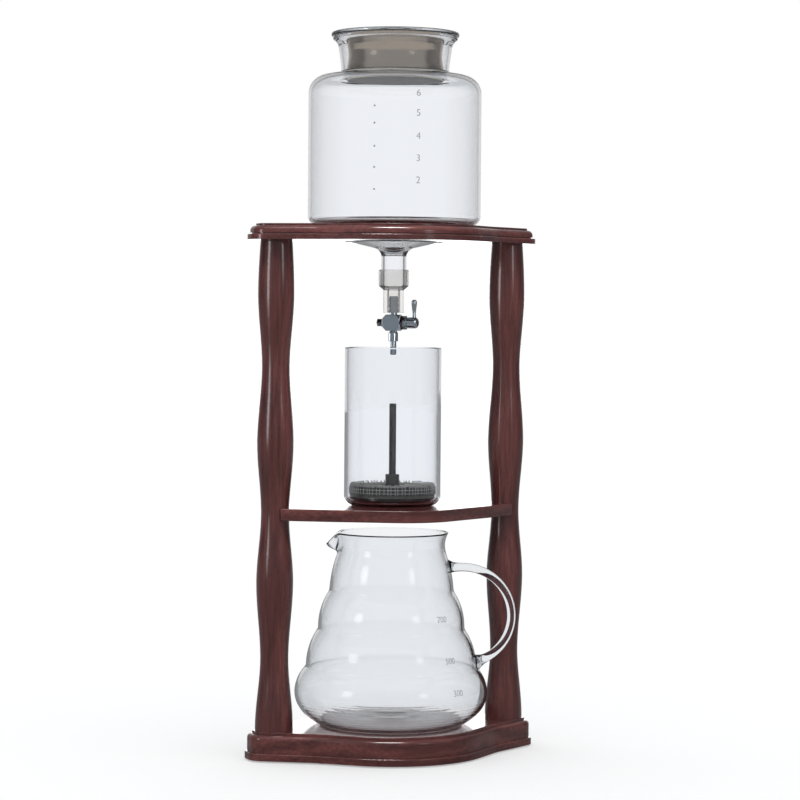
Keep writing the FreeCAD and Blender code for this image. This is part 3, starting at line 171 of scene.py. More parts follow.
STAND_NODES = ("base_board", "shelf", "top_plate", "left_post", "right_post")
SMALL_NODES = ("lid_stopper", "lid_packing", "lid_cap", "outlet_joint",
               "filter_gasket", "filter_frame", "filter_stem")
METAL_NODES = ("tap_body", "drip_nozzle", "tap_gland", "tap_nut", "tap_lever", "tap_washer")

# Each lamp lights one group alone: its name, the group, degrees to the right of the camera, height,
# distance from the tower's axis, width and height of its panel, all in metres, and its radiance.
LAMPS = (
    ("stand_key", "stand_lit", -50.0, 0.45, 1.2, 0.40, 0.80, 5.0),
    ("stand_side", "stand_lit", 42.0, 0.55, 1.3, 0.34, 0.40, 3.2),
    ("stand_top", "stand_lit", -3.0, 1.30, 0.50, 0.70, 0.34, 36.0),
    ("stand_back", "stand_lit", 180.0, 0.25, 1.1, 1.3, 0.44, 1.8),
    ("jug_key", "jug_lit", -54.0, 0.50, 1.3, 0.42, 0.46, 4.4),
    ("jug_side", "jug_lit", 40.0, 0.50, 1.3, 0.32, 0.40, 3.0),
    ("small_key", "small_lit", -54.0, 0.57, 1.2, 0.20, 0.16, 10.0),
    ("small_side", "small_lit", 40.0, 0.57, 1.3, 0.14, 0.12, 10.0),
    ("metal_left", "metal_lit", -96.0, 0.38, 0.9, 0.20, 0.60, 7.0),
    ("metal_right", "metal_lit", 30.0, 0.40, 1.1, 0.12, 0.60, 9.0),
    ("metal_top", "metal_lit", 44.0, 0.72, 0.90, 0.40, 0.18, 9.0),
)

# The wood's tones from its dark to its light rings, the clouds in it and its open pores.
WOOD_TONES = (
    (0.26, (0.040, 0.0115, 0.0108)),
    (0.50, (0.083, 0.0240, 0.0220)),
    (0.74, (0.142, 0.0430, 0.0370)),
)
WOOD_CLOUD = (0.052, 0.0150, 0.0135)
WOOD_PORE = (0.018, 0.006, 0.005)


# ---------------------------------------------------------------- small helpers

def node(tree, kind, inputs=None, **settings):
    """A new node with its settings and with plain values or links for its inputs."""
    made = tree.nodes.new(kind)
    for key, value in settings.items():
        setattr(made, key, value)
    for key, value in (inputs or {}).items():
        if isinstance(value, bpy.types.NodeSocket):
            tree.links.new(value, made.inputs[key])
        else:
            made.inputs[key].default_value = value
    return made


def material(name, slot_colour=None):
    """A new node material, its tree and its Principled shader."""
    mat = bpy.data.materials.new(name)
    mat.use_nodes = True
    if slot_colour:
        mat.diffuse_color = slot_colour
    return mat, mat.node_tree, mat.node_tree.nodes["Principled BSDF"]


def setup(shader, **values):
    """Plain values on the shader's own sockets, named with underscores for spaces."""
    for key, value in values.items():
        shader.inputs[key.replace("_", " ")].default_value = value


def object_coords(tree, scale=(1.0, 1.0, 1.0), shift=(0.0, 0.0, 0.0)):
    """The surface's place on its piece, stretched for grain and shifted."""
    coords = node(tree, "ShaderNodeTexCoord").outputs["Object"]
    placed = node(tree, "ShaderNodeMapping", {"Vector": coords, "Scale": scale, "Location": shift})
    return placed.outputs["Vector"]


def noise(tree, vector, scale, detail=3.0, rough=0.5):
    """Noise from 0 to 1, of so many waves a metre."""
    return node(tree, "ShaderNodeTexNoise", {
        "Vector": vector, "Scale": scale, "Detail": detail, "Roughness": rough}).outputs["Fac"]


def ramp(tree, factor, *stops):
    """A colour ramp; each stop is (position, colour) with a grey as one number."""
    made = node(tree, "ShaderNodeValToRGB", {"Fac": factor})
    elements = made.color_ramp.elements
    while len(elements) < len(stops):
        elements.new(0.5)
    for element, (position, colour) in zip(elements, stops):
        element.position = position
        element.color = (colour,) * 3 + (1.0,) if isinstance(colour, float) else (*colour, 1.0)
    return made.outputs["Color"]


def mix(tree, factor, a, b):
    """Two colours mixed; each is a socket or a colour."""
    made = node(tree, "ShaderNodeMix", data_type="RGBA")
    for index, value in ((0, factor), (6, a), (7, b)):    # the colour inputs of a Mix node are 6 and 7
        if isinstance(value, bpy.types.NodeSocket):
            tree.links.new(value, made.inputs[index])
        elif index:
            made.inputs[index].default_value = (*value, 1.0)
        else:
            made.inputs[index].default_value = value
    return made.outputs[2]


def math_node(tree, operation, *values):
    """The outcome of one sum; each value is a socket or a number."""
    return node(tree, "ShaderNodeMath", dict(enumerate(values)), operation=operation).outputs[0]


def bump(tree, height, strength, distance):
    """A normal that follows a height."""
    inputs = {"Height": height, "Strength": strength, "Distance": distance}
    return node(tree, "ShaderNodeBump", inputs).outputs["Normal"]


def light_path(tree):
    """The outputs of Light Path, and 1 for a ray that has met a mirror on its way."""
    path = node(tree, "ShaderNodeLightPath").outputs
    return path, math_node(tree, "GREATER_THAN", path["Glossy Depth"], 0.5)


def dress(mat, *names):
    """Gives CAD nodes a material."""
    for name in names:
        for mat_slot in NODES[name].material_slots:
            mat_slot.material = mat


# ---------------------------------------------------------------- camera, light and floor

def make_camera():
    """The camera of the photograph."""
    data = bpy.data.cameras.new("camera")
    data.sensor_width = CAMERA_SENSOR
    data.lens = CAMERA_LENS
    data.clip_start, data.clip_end = CAMERA_CLIP
    camera = bpy.data.objects.new("camera", data)
    SCENE.collection.objects.link(camera)
    camera.location = TO_CAMERA * CAMERA_DISTANCE + Vector((0.0, 0.0, CAMERA_HEIGHT))
    turn = Matrix.Rotation(-CAMERA_TURN - CAMERA_YAW, 4, "Z")
    tilt = Matrix.Rotation(math.pi / 2 + CAMERA_PITCH, 4, "X")
    roll = Matrix.Rotation(CAMERA_ROLL, 4, "Z")
    camera.rotation_euler = (turn @ tilt @ roll).to_euler()
    SCENE.camera = camera


def make_world():
    """White where it is seen straight or through glass, soft light on matt surfaces, a room in mirrors."""
    world = bpy.data.worlds.new("studio")
    SCENE.world = world
    world.use_nodes = True
    tree = world.node_tree
    tree.nodes.clear()
    coords = node(tree, "ShaderNodeTexCoord").outputs["Generated"]
    along = node(tree, "ShaderNodeVectorMath", {0: coords, 1: -TO_CAMERA}, operation="DOT_PRODUCT")
    place = math_node(tree, "MULTIPLY_ADD", along.outputs["Value"], 0.5, 0.5)
    height = node(tree, "ShaderNodeSeparateXYZ", {0: coords}).outputs["Z"]
    ceiling = ramp(tree, height, (CEILING_FROM, 0.0), (CEILING_FULL, 1.0))
    room = mix(tree, ceiling, ramp(tree, place, *ROOM_WALLS), ROOM_CEILING)
    path, mirrored = light_path(tree)
    level = mix(tree, mirrored, SOFT_LIGHT, room)
    unmirrored = math_node(tree, "SUBTRACT", 1.0, mirrored)
    through = math_node(tree, "MULTIPLY", path["Is Transmission Ray"], unmirrored)
    seen = math_node(tree, "MAXIMUM", path["Is Camera Ray"], through)
    level = mix(tree, seen, level, WHITE)
    background = node(tree, "ShaderNodeBackground", {"Color": level, "Strength": 1.0})
    out = node(tree, "ShaderNodeOutputWorld")
    tree.links.new(background.outputs[0], out.inputs["Surface"])


def make_lamp(name, group, side_deg, lamp_z, distance, width, height, radiance):
    """A soft-edged panel that stands round the tower from the camera and lights one group of pieces."""
    data = bpy.data.lights.new(name, "AREA")
    data.shape = "RECTANGLE"
    data.size = width
    data.size_y = height
    data.energy = radiance * math.pi * width * height
    data.use_nodes = True
    tree = data.node_tree
    tree.nodes.clear()
    across = node(tree, "ShaderNodeNewGeometry").outputs["Parametric"]
    centred = node(tree, "ShaderNodeVectorMath", {0: across, 1: (0.5, 0.5, 0.0)}, operation="SUBTRACT")
    parts = node(tree, "ShaderNodeSeparateXYZ", {0: centred.outputs[0]}).outputs
    powers = [math_node(tree, "POWER", math_node(tree, "ABSOLUTE", parts[i]), LAMP_POWER) for i in (0, 1)]
    edge = math_node(tree, "POWER", math_node(tree, "ADD", *powers), 1 / LAMP_POWER)
    emission = node(tree, "ShaderNodeEmission", {"Color": ramp(tree, edge, *LAMP_GLOW), "Strength": 1.0})
    out = node(tree, "ShaderNodeOutputLight")
    tree.links.new(emission.outputs[0], out.inputs["Surface"])
    lamp = bpy.data.objects.new(name, data)
    SCENE.collection.objects.link(lamp)
    side = math.radians(side_deg)
    level = TO_CAMERA * math.cos(side) + CAMERA_RIGHT * math.sin(side)
    lamp.location = level * distance + Vector((0.0, 0.0, lamp_z))
    lamp.rotation_euler = (lamp.location - LAMP_AIM).to_track_quat("Z", "Y").to_euler()
    lamp.visible_camera = False
    lamp.visible_transmission = False
    lamp.light_linking.receiver_collection = group


def lit_group(name, pieces):
    """A collection that says which pieces a lamp lights."""
    group = bpy.data.collections.new(name)
    for piece in pieces:
        group.objects.link(piece)
    return group


def make_floor():
    """A pale matt floor that meets the backdrop and keeps the object's shadow."""
    mesh = bpy.data.meshes.new("floor")
    corners = [(x * FLOOR_HALF, y * FLOOR_HALF, 0) for x, y in ((-1, -1), (1, -1), (1, 1), (-1, 1))]
    mesh.from_pydata(corners, [], [(0, 1, 2, 3)])
    floor = bpy.data.objects.new("floor", mesh)
    SCENE.collection.objects.link(floor)
    mat, tree, shader = material("floor_paper")
    setup(shader, Roughness=0.9, Specular_IOR_Level=0.0)
    grain = noise(tree, object_coords(tree), scale=300.0)
    tree.links.new(ramp(tree, grain, *FLOOR_TONES), shader.inputs["Base Color"])
    path, mirrored = light_path(tree)
    seen = math_node(tree, "MAXIMUM", path["Is Camera Ray"], path["Is Transmission Ray"])
    share = math_node(tree, "MULTIPLY_ADD", mirrored, FLOOR_MIRRORED - 1.0, 1.0)
    lift = math_node(tree, "MULTIPLY", math_node(tree, "MULTIPLY", seen, share), FLOOR_LIFT)
    glow = node(tree, "ShaderNodeEmission", {"Strength": lift})
    both = node(tree, "ShaderNodeAddShader", {0: shader.outputs[0], 1: glow.outputs[0]})
    tree.links.new(both.outputs[0], tree.nodes["Material Output"].inputs["Surface"])
    mesh.materials.append(mat)


# ---------------------------------------------------------------- materials

def drawn_out(along, share):
    """The scale of a texture whose marks run along one axis."""
    return [share if axis == along else 1.0 for axis in "XYZ"]


def stained_wood(name, along, shift):
    """Reddish brown stain over fine open grain that runs along one axis, under glossy lacquer."""
    mat, tree, shader = material(name, (0.07, 0.018, 0.014, 1.0))
    place = object_coords(tree, scale=drawn_out(along, 0.05), shift=shift)
    waves = {"Vector": place, "Scale": 30.0, "Distortion": 4.0, "Detail": 3.0, "Detail Scale": 1.4}
    rings = node(tree, "ShaderNodeTexWave", waves, wave_type="RINGS", rings_direction=along).outputs["Fac"]
    streaks = noise(tree, place, scale=480.0, detail=4.0, rough=0.6)
    clouds = noise(tree, object_coords(tree, shift=shift), scale=20.0, detail=2.0)
    tone = math_node(tree, "MULTIPLY_ADD", rings, 0.22, math_node(tree, "MULTIPLY", streaks, 0.78))
    colour = ramp(tree, tone, *WOOD_TONES)
    colour = mix(tree, ramp(tree, clouds, (0.35, 0.0), (0.70, 0.45)), colour, WOOD_CLOUD)
    finer = object_coords(tree, scale=drawn_out(along, 0.08), shift=shift)
    pores = noise(tree, finer, scale=2200.0, detail=1.0)
    pores = ramp(tree, pores, (0.62, 0.0), (0.72, 1.0))
    colour = mix(tree, math_node(tree, "MULTIPLY", pores, 0.45), colour, WOOD_PORE)
    tree.links.new(colour, shader.inputs["Base Color"])
    tree.links.new(ramp(tree, streaks, (0.3, 0.30), (0.7, 0.40)), shader.inputs["Roughness"])
    height = math_node(tree, "MULTIPLY_ADD", pores, -1.0, math_node(tree, "MULTIPLY", streaks, 0.3))
    tree.links.new(bump(tree, height, strength=0.12, distance=0.10 * MM), shader.inputs["Normal"])
    setup(shader, Coat_Weight=1.0, Coat_Roughness=0.12, Coat_IOR=1.52, Specular_IOR_Level=0.1)
    return mat


def clear_glass(name, density, tint, body=(0.975, 0.984, 1.0)):
    """Blown glass: nearly colourless, a little grey blue in depth, faintly smeared, pale in its shadow."""
    mat, tree, shader = material(name, (0.85, 0.9, 0.92, 0.3))
    setup(shader, Base_Color=(*body, 1.0), Transmission_Weight=1.0, IOR=1.47)
    smears = noise(tree, object_coords(tree), scale=60.0)
    tree.links.new(ramp(tree, smears, (0.45, 0.0), (0.85, 0.04)), shader.inputs["Roughness"])
    through = node(tree, "ShaderNodeBsdfTransparent", {"Color": (0.93, 0.945, 0.955, 1.0)})
    path = node(tree, "ShaderNodeLightPath").outputs
    both = node(tree, "ShaderNodeMixShader",
                {0: path["Is Shadow Ray"], 1: shader.outputs[0], 2: through.outputs[0]})
    out = tree.nodes["Material Output"]
    tree.links.new(both.outputs[0], out.inputs["Surface"])
    inside = node(tree, "ShaderNodeVolumeAbsorption", {"Color": (*tint, 1.0), "Density": density})
    tree.links.new(inside.outputs[0], out.inputs["Volume"])
    return mat


def glossy_plastic(name, colour, rough, dark=0.8, metallic=0.0):
    """Moulded plastic with a faint flow pattern, down to a darker share of its colour."""
    mat, tree, shader = material(name, (*colour, 1.0))
    flow = noise(tree, object_coords(tree, scale=(1.0, 1.0, 2.0)), scale=45.0)
    tone = mix(tree, ramp(tree, flow, (0.35, 0.0), (0.65, 1.0)), tuple(c * dark for c in colour), colour)
    tree.links.new(tone, shader.inputs["Base Color"])
    fine = noise(tree, object_coords(tree), scale=900.0, detail=2.0)
    tree.links.new(ramp(tree, fine, (0.3, rough * 0.8), (0.7, rough * 1.2)), shader.inputs["Roughness"])
    tree.links.new(bump(tree, fine, strength=0.05, distance=0.1 * MM), shader.inputs["Normal"])
    setup(shader, Metallic=metallic)
    return mat


def milky_silicone(name, colour, through, rough, painted_underside_shade=None):
    """Whitish silicone that lets some light through; faces that look down may get a darker colour, painted
    on as shade.
    """
    mat, tree, shader = material(name, (*colour, 1.0))
    cloudy = noise(tree, object_coords(tree), scale=120.0)
    tone = mix(tree, ramp(tree, cloudy, (0.35, 0.0), (0.65, 1.0)), tuple(c * 0.97 for c in colour), colour)
    if painted_underside_shade:
        # faces that look down get the darker colour as painted shade
        facing = node(tree, "ShaderNodeNewGeometry").outputs["Normal"]
        upward = node(tree, "ShaderNodeSeparateXYZ", {0: facing}).outputs["Z"]
        tone = mix(tree, math_node(tree, "LESS_THAN", upward, -0.7), tone, painted_underside_shade)
    tree.links.new(tone, shader.inputs["Base Color"])
    tree.links.new(ramp(tree, cloudy, (0.3, rough * 0.8), (0.7, rough * 1.2)), shader.inputs["Roughness"])
    setup(shader, Transmission_Weight=through, IOR=1.41)
    return mat


def bright_metal(name, colour, rough):
    """Plated metal with fine polishing marks."""
    mat, tree, shader = material(name, (*colour, 1.0))
    marks = noise(tree, object_coords(tree, scale=(1.0, 1.0, 6.0)), scale=1500.0)
    tree.links.new(ramp(tree, marks, (0.3, rough * 0.6), (0.7, rough * 1.5)), shader.inputs["Roughness"])
    patches = noise(tree, object_coords(tree), scale=220.0, detail=2.0)
    tone = mix(tree, patches, tuple(c * 0.9 for c in colour), colour)
    tree.links.new(tone, shader.inputs["Base Color"])
    tree.links.new(bump(tree, marks, strength=0.04, distance=0.05 * MM), shader.inputs["Normal"])
    setup(shader, Metallic=1.0)
    return mat


def seal_rubber(name, colour=(0.018, 0.016, 0.016), rough=0.36):
    """Black rubber with a faint greyish bloom."""
    mat, tree, shader = material(name, (*colour, 1.0))
    bloom = noise(tree, object_coords(tree), scale=500.0, detail=4.0)
    tone = mix(tree, bloom, colour, tuple(c * 1.8 for c in colour))
    tree.links.new(tone, shader.inputs["Base Color"])
    tree.links.new(ramp(tree, bloom, (0.3, rough * 0.8), (0.7, rough * 1.25)), shader.inputs["Roughness"])
    tree.links.new(bump(tree, bloom, strength=0.06, distance=0.1 * MM), shader.inputs["Normal"])
    return mat


def beech(name):
    """Bare pale wood, for the dowels."""
    mat, tree, shader = material(name, (0.55, 0.36, 0.20, 1.0))
    grain = noise(tree, object_coords(tree, scale=drawn_out("Z", 0.1)), scale=900.0)
    tone = ramp(tree, grain, (0.3, (0.42, 0.25, 0.13)), (0.7, (0.62, 0.42, 0.25)))
    tree.links.new(tone, shader.inputs["Base Color"])
    setup(shader, Roughness=0.6)
    return mat


# ---------------------------------------------------------------- turned glass

def rounded_line(corners):
    """Points of the closed outline through (radius, height, rounding) corners."""
    points = []
    for i, (r, z, rounding) in enumerate(corners):
        here = Vector((r, z))
        back = (Vector(corners[i - 1][:2]) - here).normalized()
        on = (Vector(corners[(i + 1) % len(corners)][:2]) - here).normalized()
        half = back.angle(on) / 2
        if rounding <= 0 or abs(half - math.pi / 2) < NEARLY_STRAIGHT:
            points.append(here)
            continue
        centre = here + (back + on).normalized() * (rounding / math.sin(half))
        start = here + back * (rounding / math.tan(half)) - centre
        end = here + on * (rounding / math.tan(half)) - centre
        sweep = start.angle_signed(end)
        for k in range(ARC_FACETS + 1):
            turn = -sweep * k / ARC_FACETS
            c, s = math.cos(turn), math.sin(turn)
            points.append(centre + Vector((start.x * c - start.y * s, start.x * s + start.y * c)))
    return points


def closed_mesh(name, verts, faces):
    """A mesh with its doubled points welded and its faces turned outward."""
    mesh = bpy.data.meshes.new(name)
    mesh.from_pydata(verts, [], faces)
    work = bmesh.new()
    work.from_mesh(mesh)
    bmesh.ops.remove_doubles(work, verts=work.verts, dist=WELD)
    bmesh.ops.recalc_face_normals(work, faces=work.faces)
    work.to_mesh(mesh)
    work.free()
    return mesh


def smooth(mesh):
    """The mesh, shaded smooth."""
    for polygon in mesh.polygons:
        polygon.use_smooth = True
    return mesh


def lathe(name, line, turns=TURNS, warp=None):
    """A mesh turned about the Z axis from a closed line of (radius, height) points."""
    verts, faces = [], []
    rows = len(line)
    for i in range(turns):
        angle = 2 * math.pi * i / turns
        for r, z in line:
            place = Vector((r * math.cos(angle), r * math.sin(angle), z))
            verts.append(warp(place) if warp else place)
    for i in range(turns):
        j = (i + 1) % turns
        for k in range(rows):
            m = (k + 1) % rows
            faces.append((i * rows + k, j * rows + k, j * rows + m, i * rows + m))
    return smooth(closed_mesh(name, verts, faces))


def add_piece(name, mesh, mat, slot, body, *replaced):
    """A finished mesh as a piece that rides on a body and may stand for CAD nodes."""
    mesh.materials.clear()
    mesh.materials.append(mat)
    piece = bpy.data.objects.new(name, mesh)
    SCENE.collection.objects.link(piece)
    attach(piece, body)
    if replaced:
        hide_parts(*replaced)
    return piece


def jar_line():
    """The jar's closed section: outside from the outlet's tip up to the lip, inside back down."""
    shoulder = JAR_WAIST_Z - NECK_RISE
    wall = JAR_WALL
    turn = PLATE_TOP - FUNNEL_DROP
    flare = JAR_LIP_Z - FLARE_DROP
    return rounded_line([
        (OUTLET_RADIUS, OUTLET_TIP_Z, LIP_EDGE),
        (OUTLET_RADIUS, turn - (FUNNEL_RADIUS - OUTLET_RADIUS) * FUNNEL_SLOPE, FUNNEL_BEND),
        (FUNNEL_RADIUS, turn, FUNNEL_EDGE),
        (FUNNEL_TOP_RADIUS, PLATE_TOP, FUNNEL_EDGE / 2),
        (JAR_RADIUS, PLATE_TOP, JAR_FOOT_ROUND),
        (JAR_RADIUS, shoulder, SHOULDER_ROUND),
        (NECK_RADIUS + NECK_COLLAR, shoulder + wall, wall),
        (NECK_RADIUS, JAR_WAIST_Z, NECK_BEND),
        (NECK_RADIUS + NECK_FLARE, flare, NECK_BEND / 2),
        (JAR_LIP_RADIUS, JAR_LIP_Z - LIP_THICKNESS, LIP_EDGE),
        (JAR_LIP_RADIUS, JAR_LIP_Z, LIP_EDGE),
        (JAR_LIP_RADIUS - LIP_WIDTH, JAR_LIP_Z, 2 * LIP_EDGE),
        (NECK_RADIUS + NECK_FLARE - wall, flare, NECK_BEND / 2),
        (NECK_RADIUS - wall, JAR_WAIST_Z, NECK_BEND),
        (NECK_RADIUS + NECK_COLLAR - wall, shoulder, 2 * wall),
        (JAR_RADIUS - wall, shoulder - wall, SHOULDER_ROUND - wall),
        (JAR_RADIUS - wall, PLATE_TOP + wall, JAR_FOOT_ROUND - wall),
        (FUNNEL_TOP_RADIUS, PLATE_TOP + wall, FUNNEL_EDGE),
        (FUNNEL_RADIUS - wall, turn + wall, FUNNEL_EDGE),
        (OUTLET_BORE, turn + wall - (FUNNEL_RADIUS - wall - OUTLET_BORE) * FUNNEL_SLOPE, FUNNEL_BEND),
        (OUTLET_BORE, OUTLET_TIP_Z, LIP_EDGE),
    ])


def bulged(start, end, bulge, steps):
    """Points of the arc from start up to, not including, end, standing out from its chord by bulge."""
    chord = end - start
    outward = Vector((chord.y, -chord.x)).normalized()
    radius = (chord.length_squared / 4 + bulge * bulge) / (2 * bulge)
    centre = (start + end) / 2 + outward * (bulge - radius)
    first = start - centre
    sweep = 2 * math.asin(chord.length / (2 * radius))
    points = []
    for k in range(steps):
        turn = sweep * k / steps
        c, s = math.cos(turn), math.sin(turn)
        points.append(centre + Vector((first.x * c - first.y * s, first.x * s + first.y * c)))
    return points


def jug_outside():
    """The jug's outer line from the edge of its foot to the rim, with every station softly rounded."""
    stations = [Vector((r, JUG_FOOT_Z + rise)) for r, rise, _ in JUG_STATIONS]
    line, softness = [], []
    for i in range(len(stations) - 1):
        steps = int((stations[i + 1] - stations[i]).length / LINE_STEP)
        line += bulged(stations[i], stations[i + 1], JUG_STATIONS[i][2], steps)
        here, there = JUG_SOFTNESS[i:i + 2]
        softness += [here + (there - here) * k / steps for k in range(steps)]
    line.append(stations[-1])
    softness.append(JUG_SOFTNESS[-1])
    inward = Vector((-1.0, 0.0))
    upward = (line[-1] - line[-2]).normalized()
    soft = []
    for i, width in enumerate(softness):
        total, weight = Vector((0.0, 0.0)), 0.0
        reach = int(width * MM / LINE_STEP)
        for k in range(-reach, reach + 1):
            index = i + k
            if index < 0:
                point = line[0] + inward * (LINE_STEP * -index)
            elif index >= len(line):
                point = line[-1] + upward * (LINE_STEP * (index - len(line) + 1))
            else:
                point = line[index]
            share = 0.5 + 0.5 * math.cos(math.pi * k / (reach + 1))
            total += point * share
            weight += share
        soft.append(total / weight)
    return [point for point in soft if point.y >= JUG_FOOT_Z + 0.01 * MM]


def punt(r, rise):
    """How far the jug's floor is pushed up at a distance from its middle."""
    return rise * math.exp(-(r / PUNT_RADIUS) ** 2)


def jug_line():
    """The jug's closed section: under its floor, up outside, over the rim, down inside and in again."""
    outside = jug_outside()
    inside = []
    for i, point in enumerate(outside):
        before, after = outside[max(0, i - 1)], outside[min(len(outside) - 1, i + 1)]
        along = (after - before).normalized()
        inside.append(point + Vector((-along.y, along.x)) * JUG_WALL)
    inside[-1].y = outside[-1].y
    floor_z = JUG_FOOT_Z + JUG_FLOOR
    inside = [point for point in inside if point.y > floor_z]
    under, over = [], []
    for k in range(PUNT_STEPS + 1):
        r = (outside[0].x - FOOT_EDGE) * k / PUNT_STEPS
        under.append(Vector((r, JUG_FOOT_Z + punt(r, PUNT_RISE) + FOOT_HOLLOW)))
    for k in range(1, PUNT_STEPS + 1):
        r = inside[0].x * (1 - k / PUNT_STEPS)
        over.append(Vector((r, floor_z + punt(r, PUNT_RISE * PUNT_INSIDE))))
    lip_out, lip_in = outside[-1], inside[-1]
    middle = (lip_out + lip_in) / 2
    half = (lip_out - lip_in) / 2
    lip = []
    for k in range(1, LIP_STEPS):
        turn = math.pi * k / LIP_STEPS
        lip.append(middle + half * math.cos(turn) + Vector((0.0, half.length * LIP_ROUND * math.sin(turn))))
    top = max(point.y for point in lip)
    lip = [Vector((point.x, point.y - (top - JUG_RIM_Z))) for point in lip]
    keep_out = [point for point in outside if point.y < lip[0].y]
    keep_in = [point for point in inside if point.y < lip[-1].y]
    return under + keep_out + lip + keep_in[::-1] + over


def draw_spout(place):
    """Moves a point of the jug's neck outward and down, towards the tip of the spout."""
    angle = math.atan2(place.y, place.x)
    offset = abs(abs(angle) - math.pi)
    rise = (place.z - (JUG_RIM_Z - SPOUT_HEIGHT)) / SPOUT_HEIGHT
    if offset > SPOUT_SPREAD or rise <= 0:
        return place
    across = (0.5 + 0.5 * math.cos(math.pi * offset / SPOUT_SPREAD)) ** SPOUT_POINT
    up = rise * rise * (3 - 2 * rise)
    outward = Vector((place.x, place.y, 0.0)).normalized()
    drop = Vector((0.0, 0.0, SPOUT_DROP * across * up))
    pinch = Vector((0.0, -place.y * SPOUT_PINCH * across * up, 0.0))
    return place + outward * SPOUT_OUT * across * up ** SPOUT_CURL - drop + pinch


def tube(name, path, radii):
    """A closed round rod along a path, with its own radius at each point."""
    verts, faces = [], []
    side = Vector((0.0, 1.0, 0.0))
    for i, (point, radius) in enumerate(zip(path, radii)):
        along = (path[min(i + 1, len(path) - 1)] - path[max(i - 1, 0)]).normalized()
        other = along.cross(side)
        for k in range(ROD_SIDES):
            turn = 2 * math.pi * k / ROD_SIDES
            verts.append(point + side * radius * math.cos(turn) + other * radius * math.sin(turn))
    last = (len(path) - 1) * ROD_SIDES
    for first in range(0, last, ROD_SIDES):
        after = first + ROD_SIDES
        for k in range(ROD_SIDES):
            m = (k + 1) % ROD_SIDES
            faces.append((first + k, first + m, after + m, after + k))
    faces.append(tuple(range(ROD_SIDES - 1, -1, -1)))
    faces.append(tuple(range(last, last + ROD_SIDES)))
    return closed_mesh(name, verts, faces)


def handle_mesh():
    """The handle's glass rod, flared like a drawn foot at both ends."""
    foot = Vector((HANDLE_FOOT[0], 0.0, JUG_FOOT_Z + HANDLE_FOOT[1]))
    along = Vector((math.cos(HANDLE_SLOPE), 0.0, math.sin(HANDLE_SLOPE)))
    bend_start = foot + along * HANDLE_LEAD
    centre = bend_start - Vector((math.sin(HANDLE_SLOPE), 0.0, -math.cos(HANDLE_SLOPE))) * HANDLE_BEND
    path = [foot + along * HANDLE_LEAD * k / LEAD_STEPS for k in range(LEAD_STEPS)]
    for k in range(BEND_STEPS + 1):
        turn = HANDLE_SLOPE - math.pi / 2 + (math.pi - HANDLE_SLOPE) * k / BEND_STEPS
        path.append(centre + Vector((math.cos(turn), 0.0, math.sin(turn))) * HANDLE_BEND)
    end = path[-1]
    for k in range(1, ARM_STEPS + 1):
        path.append(Vector((end.x + (HANDLE_ROOT - end.x) * k / ARM_STEPS, 0.0, end.z)))
    length = [0.0]
    for a, b in zip(path, path[1:]):
        length.append(length[-1] + (b - a).length)

    def flare(beyond):
        """The flare's share at a distance beyond the wall."""
        return math.exp(-(max(0.0, beyond) / HANDLE_FLARE_LENGTH) ** HANDLE_FLARE_POWER)

    radii = []
    for s in length:
        flares = flare(s - HANDLE_BURIED[0]) + flare(length[-1] - s - HANDLE_BURIED[1])
        radii.append(HANDLE_RADIUS + HANDLE_FLARE * flares)
    return tube("handle_rod", path, radii)


def applied(piece):
    """The piece's mesh with its modifiers applied."""
    graph = bpy.context.evaluated_depsgraph_get()
    return bpy.data.meshes.new_from_object(piece.evaluated_get(graph))


def joined(body_mesh, arm_mesh, cavity_mesh):
    """Two closed meshes as one, with what reaches into the cavity cut away."""
    objects = []
    for mesh in (body_mesh, arm_mesh, cavity_mesh):
        piece = bpy.data.objects.new(mesh.name, mesh)
        SCENE.collection.objects.link(piece)
        objects.append(piece)
    body, arm, cavity = objects
    cut = arm.modifiers.new("cut", "BOOLEAN")
    cut.operation, cut.solver, cut.object = "DIFFERENCE", "EXACT", cavity
    trimmed = applied(arm)
    arm.modifiers.clear()
    arm.data = trimmed
    join = body.modifiers.new("join", "BOOLEAN")
    join.operation, join.solver, join.object = "UNION", "EXACT", arm
    result = applied(body)
    for piece in objects:
        bpy.data.objects.remove(piece)
    return result


def make_jug(mat):
    """The ribbed jug, its spout and its handle as one piece of glass."""
    body = lathe("jug_body", jug_line(), warp=draw_spout)
    inner = [Vector((point.x - JUG_WALL * CUT_DEPTH, point.y)) for point in jug_outside()]
    cavity = lathe("jug_room", [Vector((0.0, inner[0].y))] + inner + [Vector((0.0, inner[-1].y))])
    mesh = smooth(joined(body, handle_mesh(), cavity))
    mesh.transform(Matrix.Rotation(JUG_AXIS, 4, "Z"))
    mesh.set_sharp_from_angle(angle=CREASE)
    return add_piece("jug", mesh, mat, "clear_glass", "jug", "jug_glass", "jug_handle")


# ---------------------------------------------------------------- the filter's net

NET_LOOPS = 76
NET_PITCH = 2.4 * MM
NET_LOOP = 1.7 * MM                  # how far the loops stand up at the edge
NET_CORNER = 1.3 * MM
WIRE_RADIUS = 0.27 * MM
WIRE_SIDES = 5
LOOP_STEPS = 6
LOOP_SHIFT = 0.2                     # unevenness of the loops' places, as a share of their distance
LOOP_LEAN = 0.35                     # and of their lean, as a share of the pitch
LOOP_HEIGHTS = (0.6, 1.0)            # and of their height
LOOP_START = 0.4                     # where a loop starts in from the edge, and how wide it is, in corners
LOOP_WIDTH = 1.5
LOOP_END = 2.6                       # where the wire lies flat again, in corners
LEAN_KEPT = 0.3                      # share of the lean at the wire's inner end
CORNER_CUT = 0.3                     # how far the wire cuts the corner, as a share of it
SIDE_HOOPS = (0.28, 0.80)            # heights of the hoops round the side, as shares of it
TOP_HOOPS = (2.2, 4.0, 6.0, 8.0)     # places of the hoops over the top, in corners from the edge
HOOP_WAVES = (-1.6, 0.9)             # how far a hoop goes in and out, in wire radii
TOP_WAVE = 0.8                       # share of that over the top
STEM_CLEAR = 3.0 * MM                # from the boss to the net
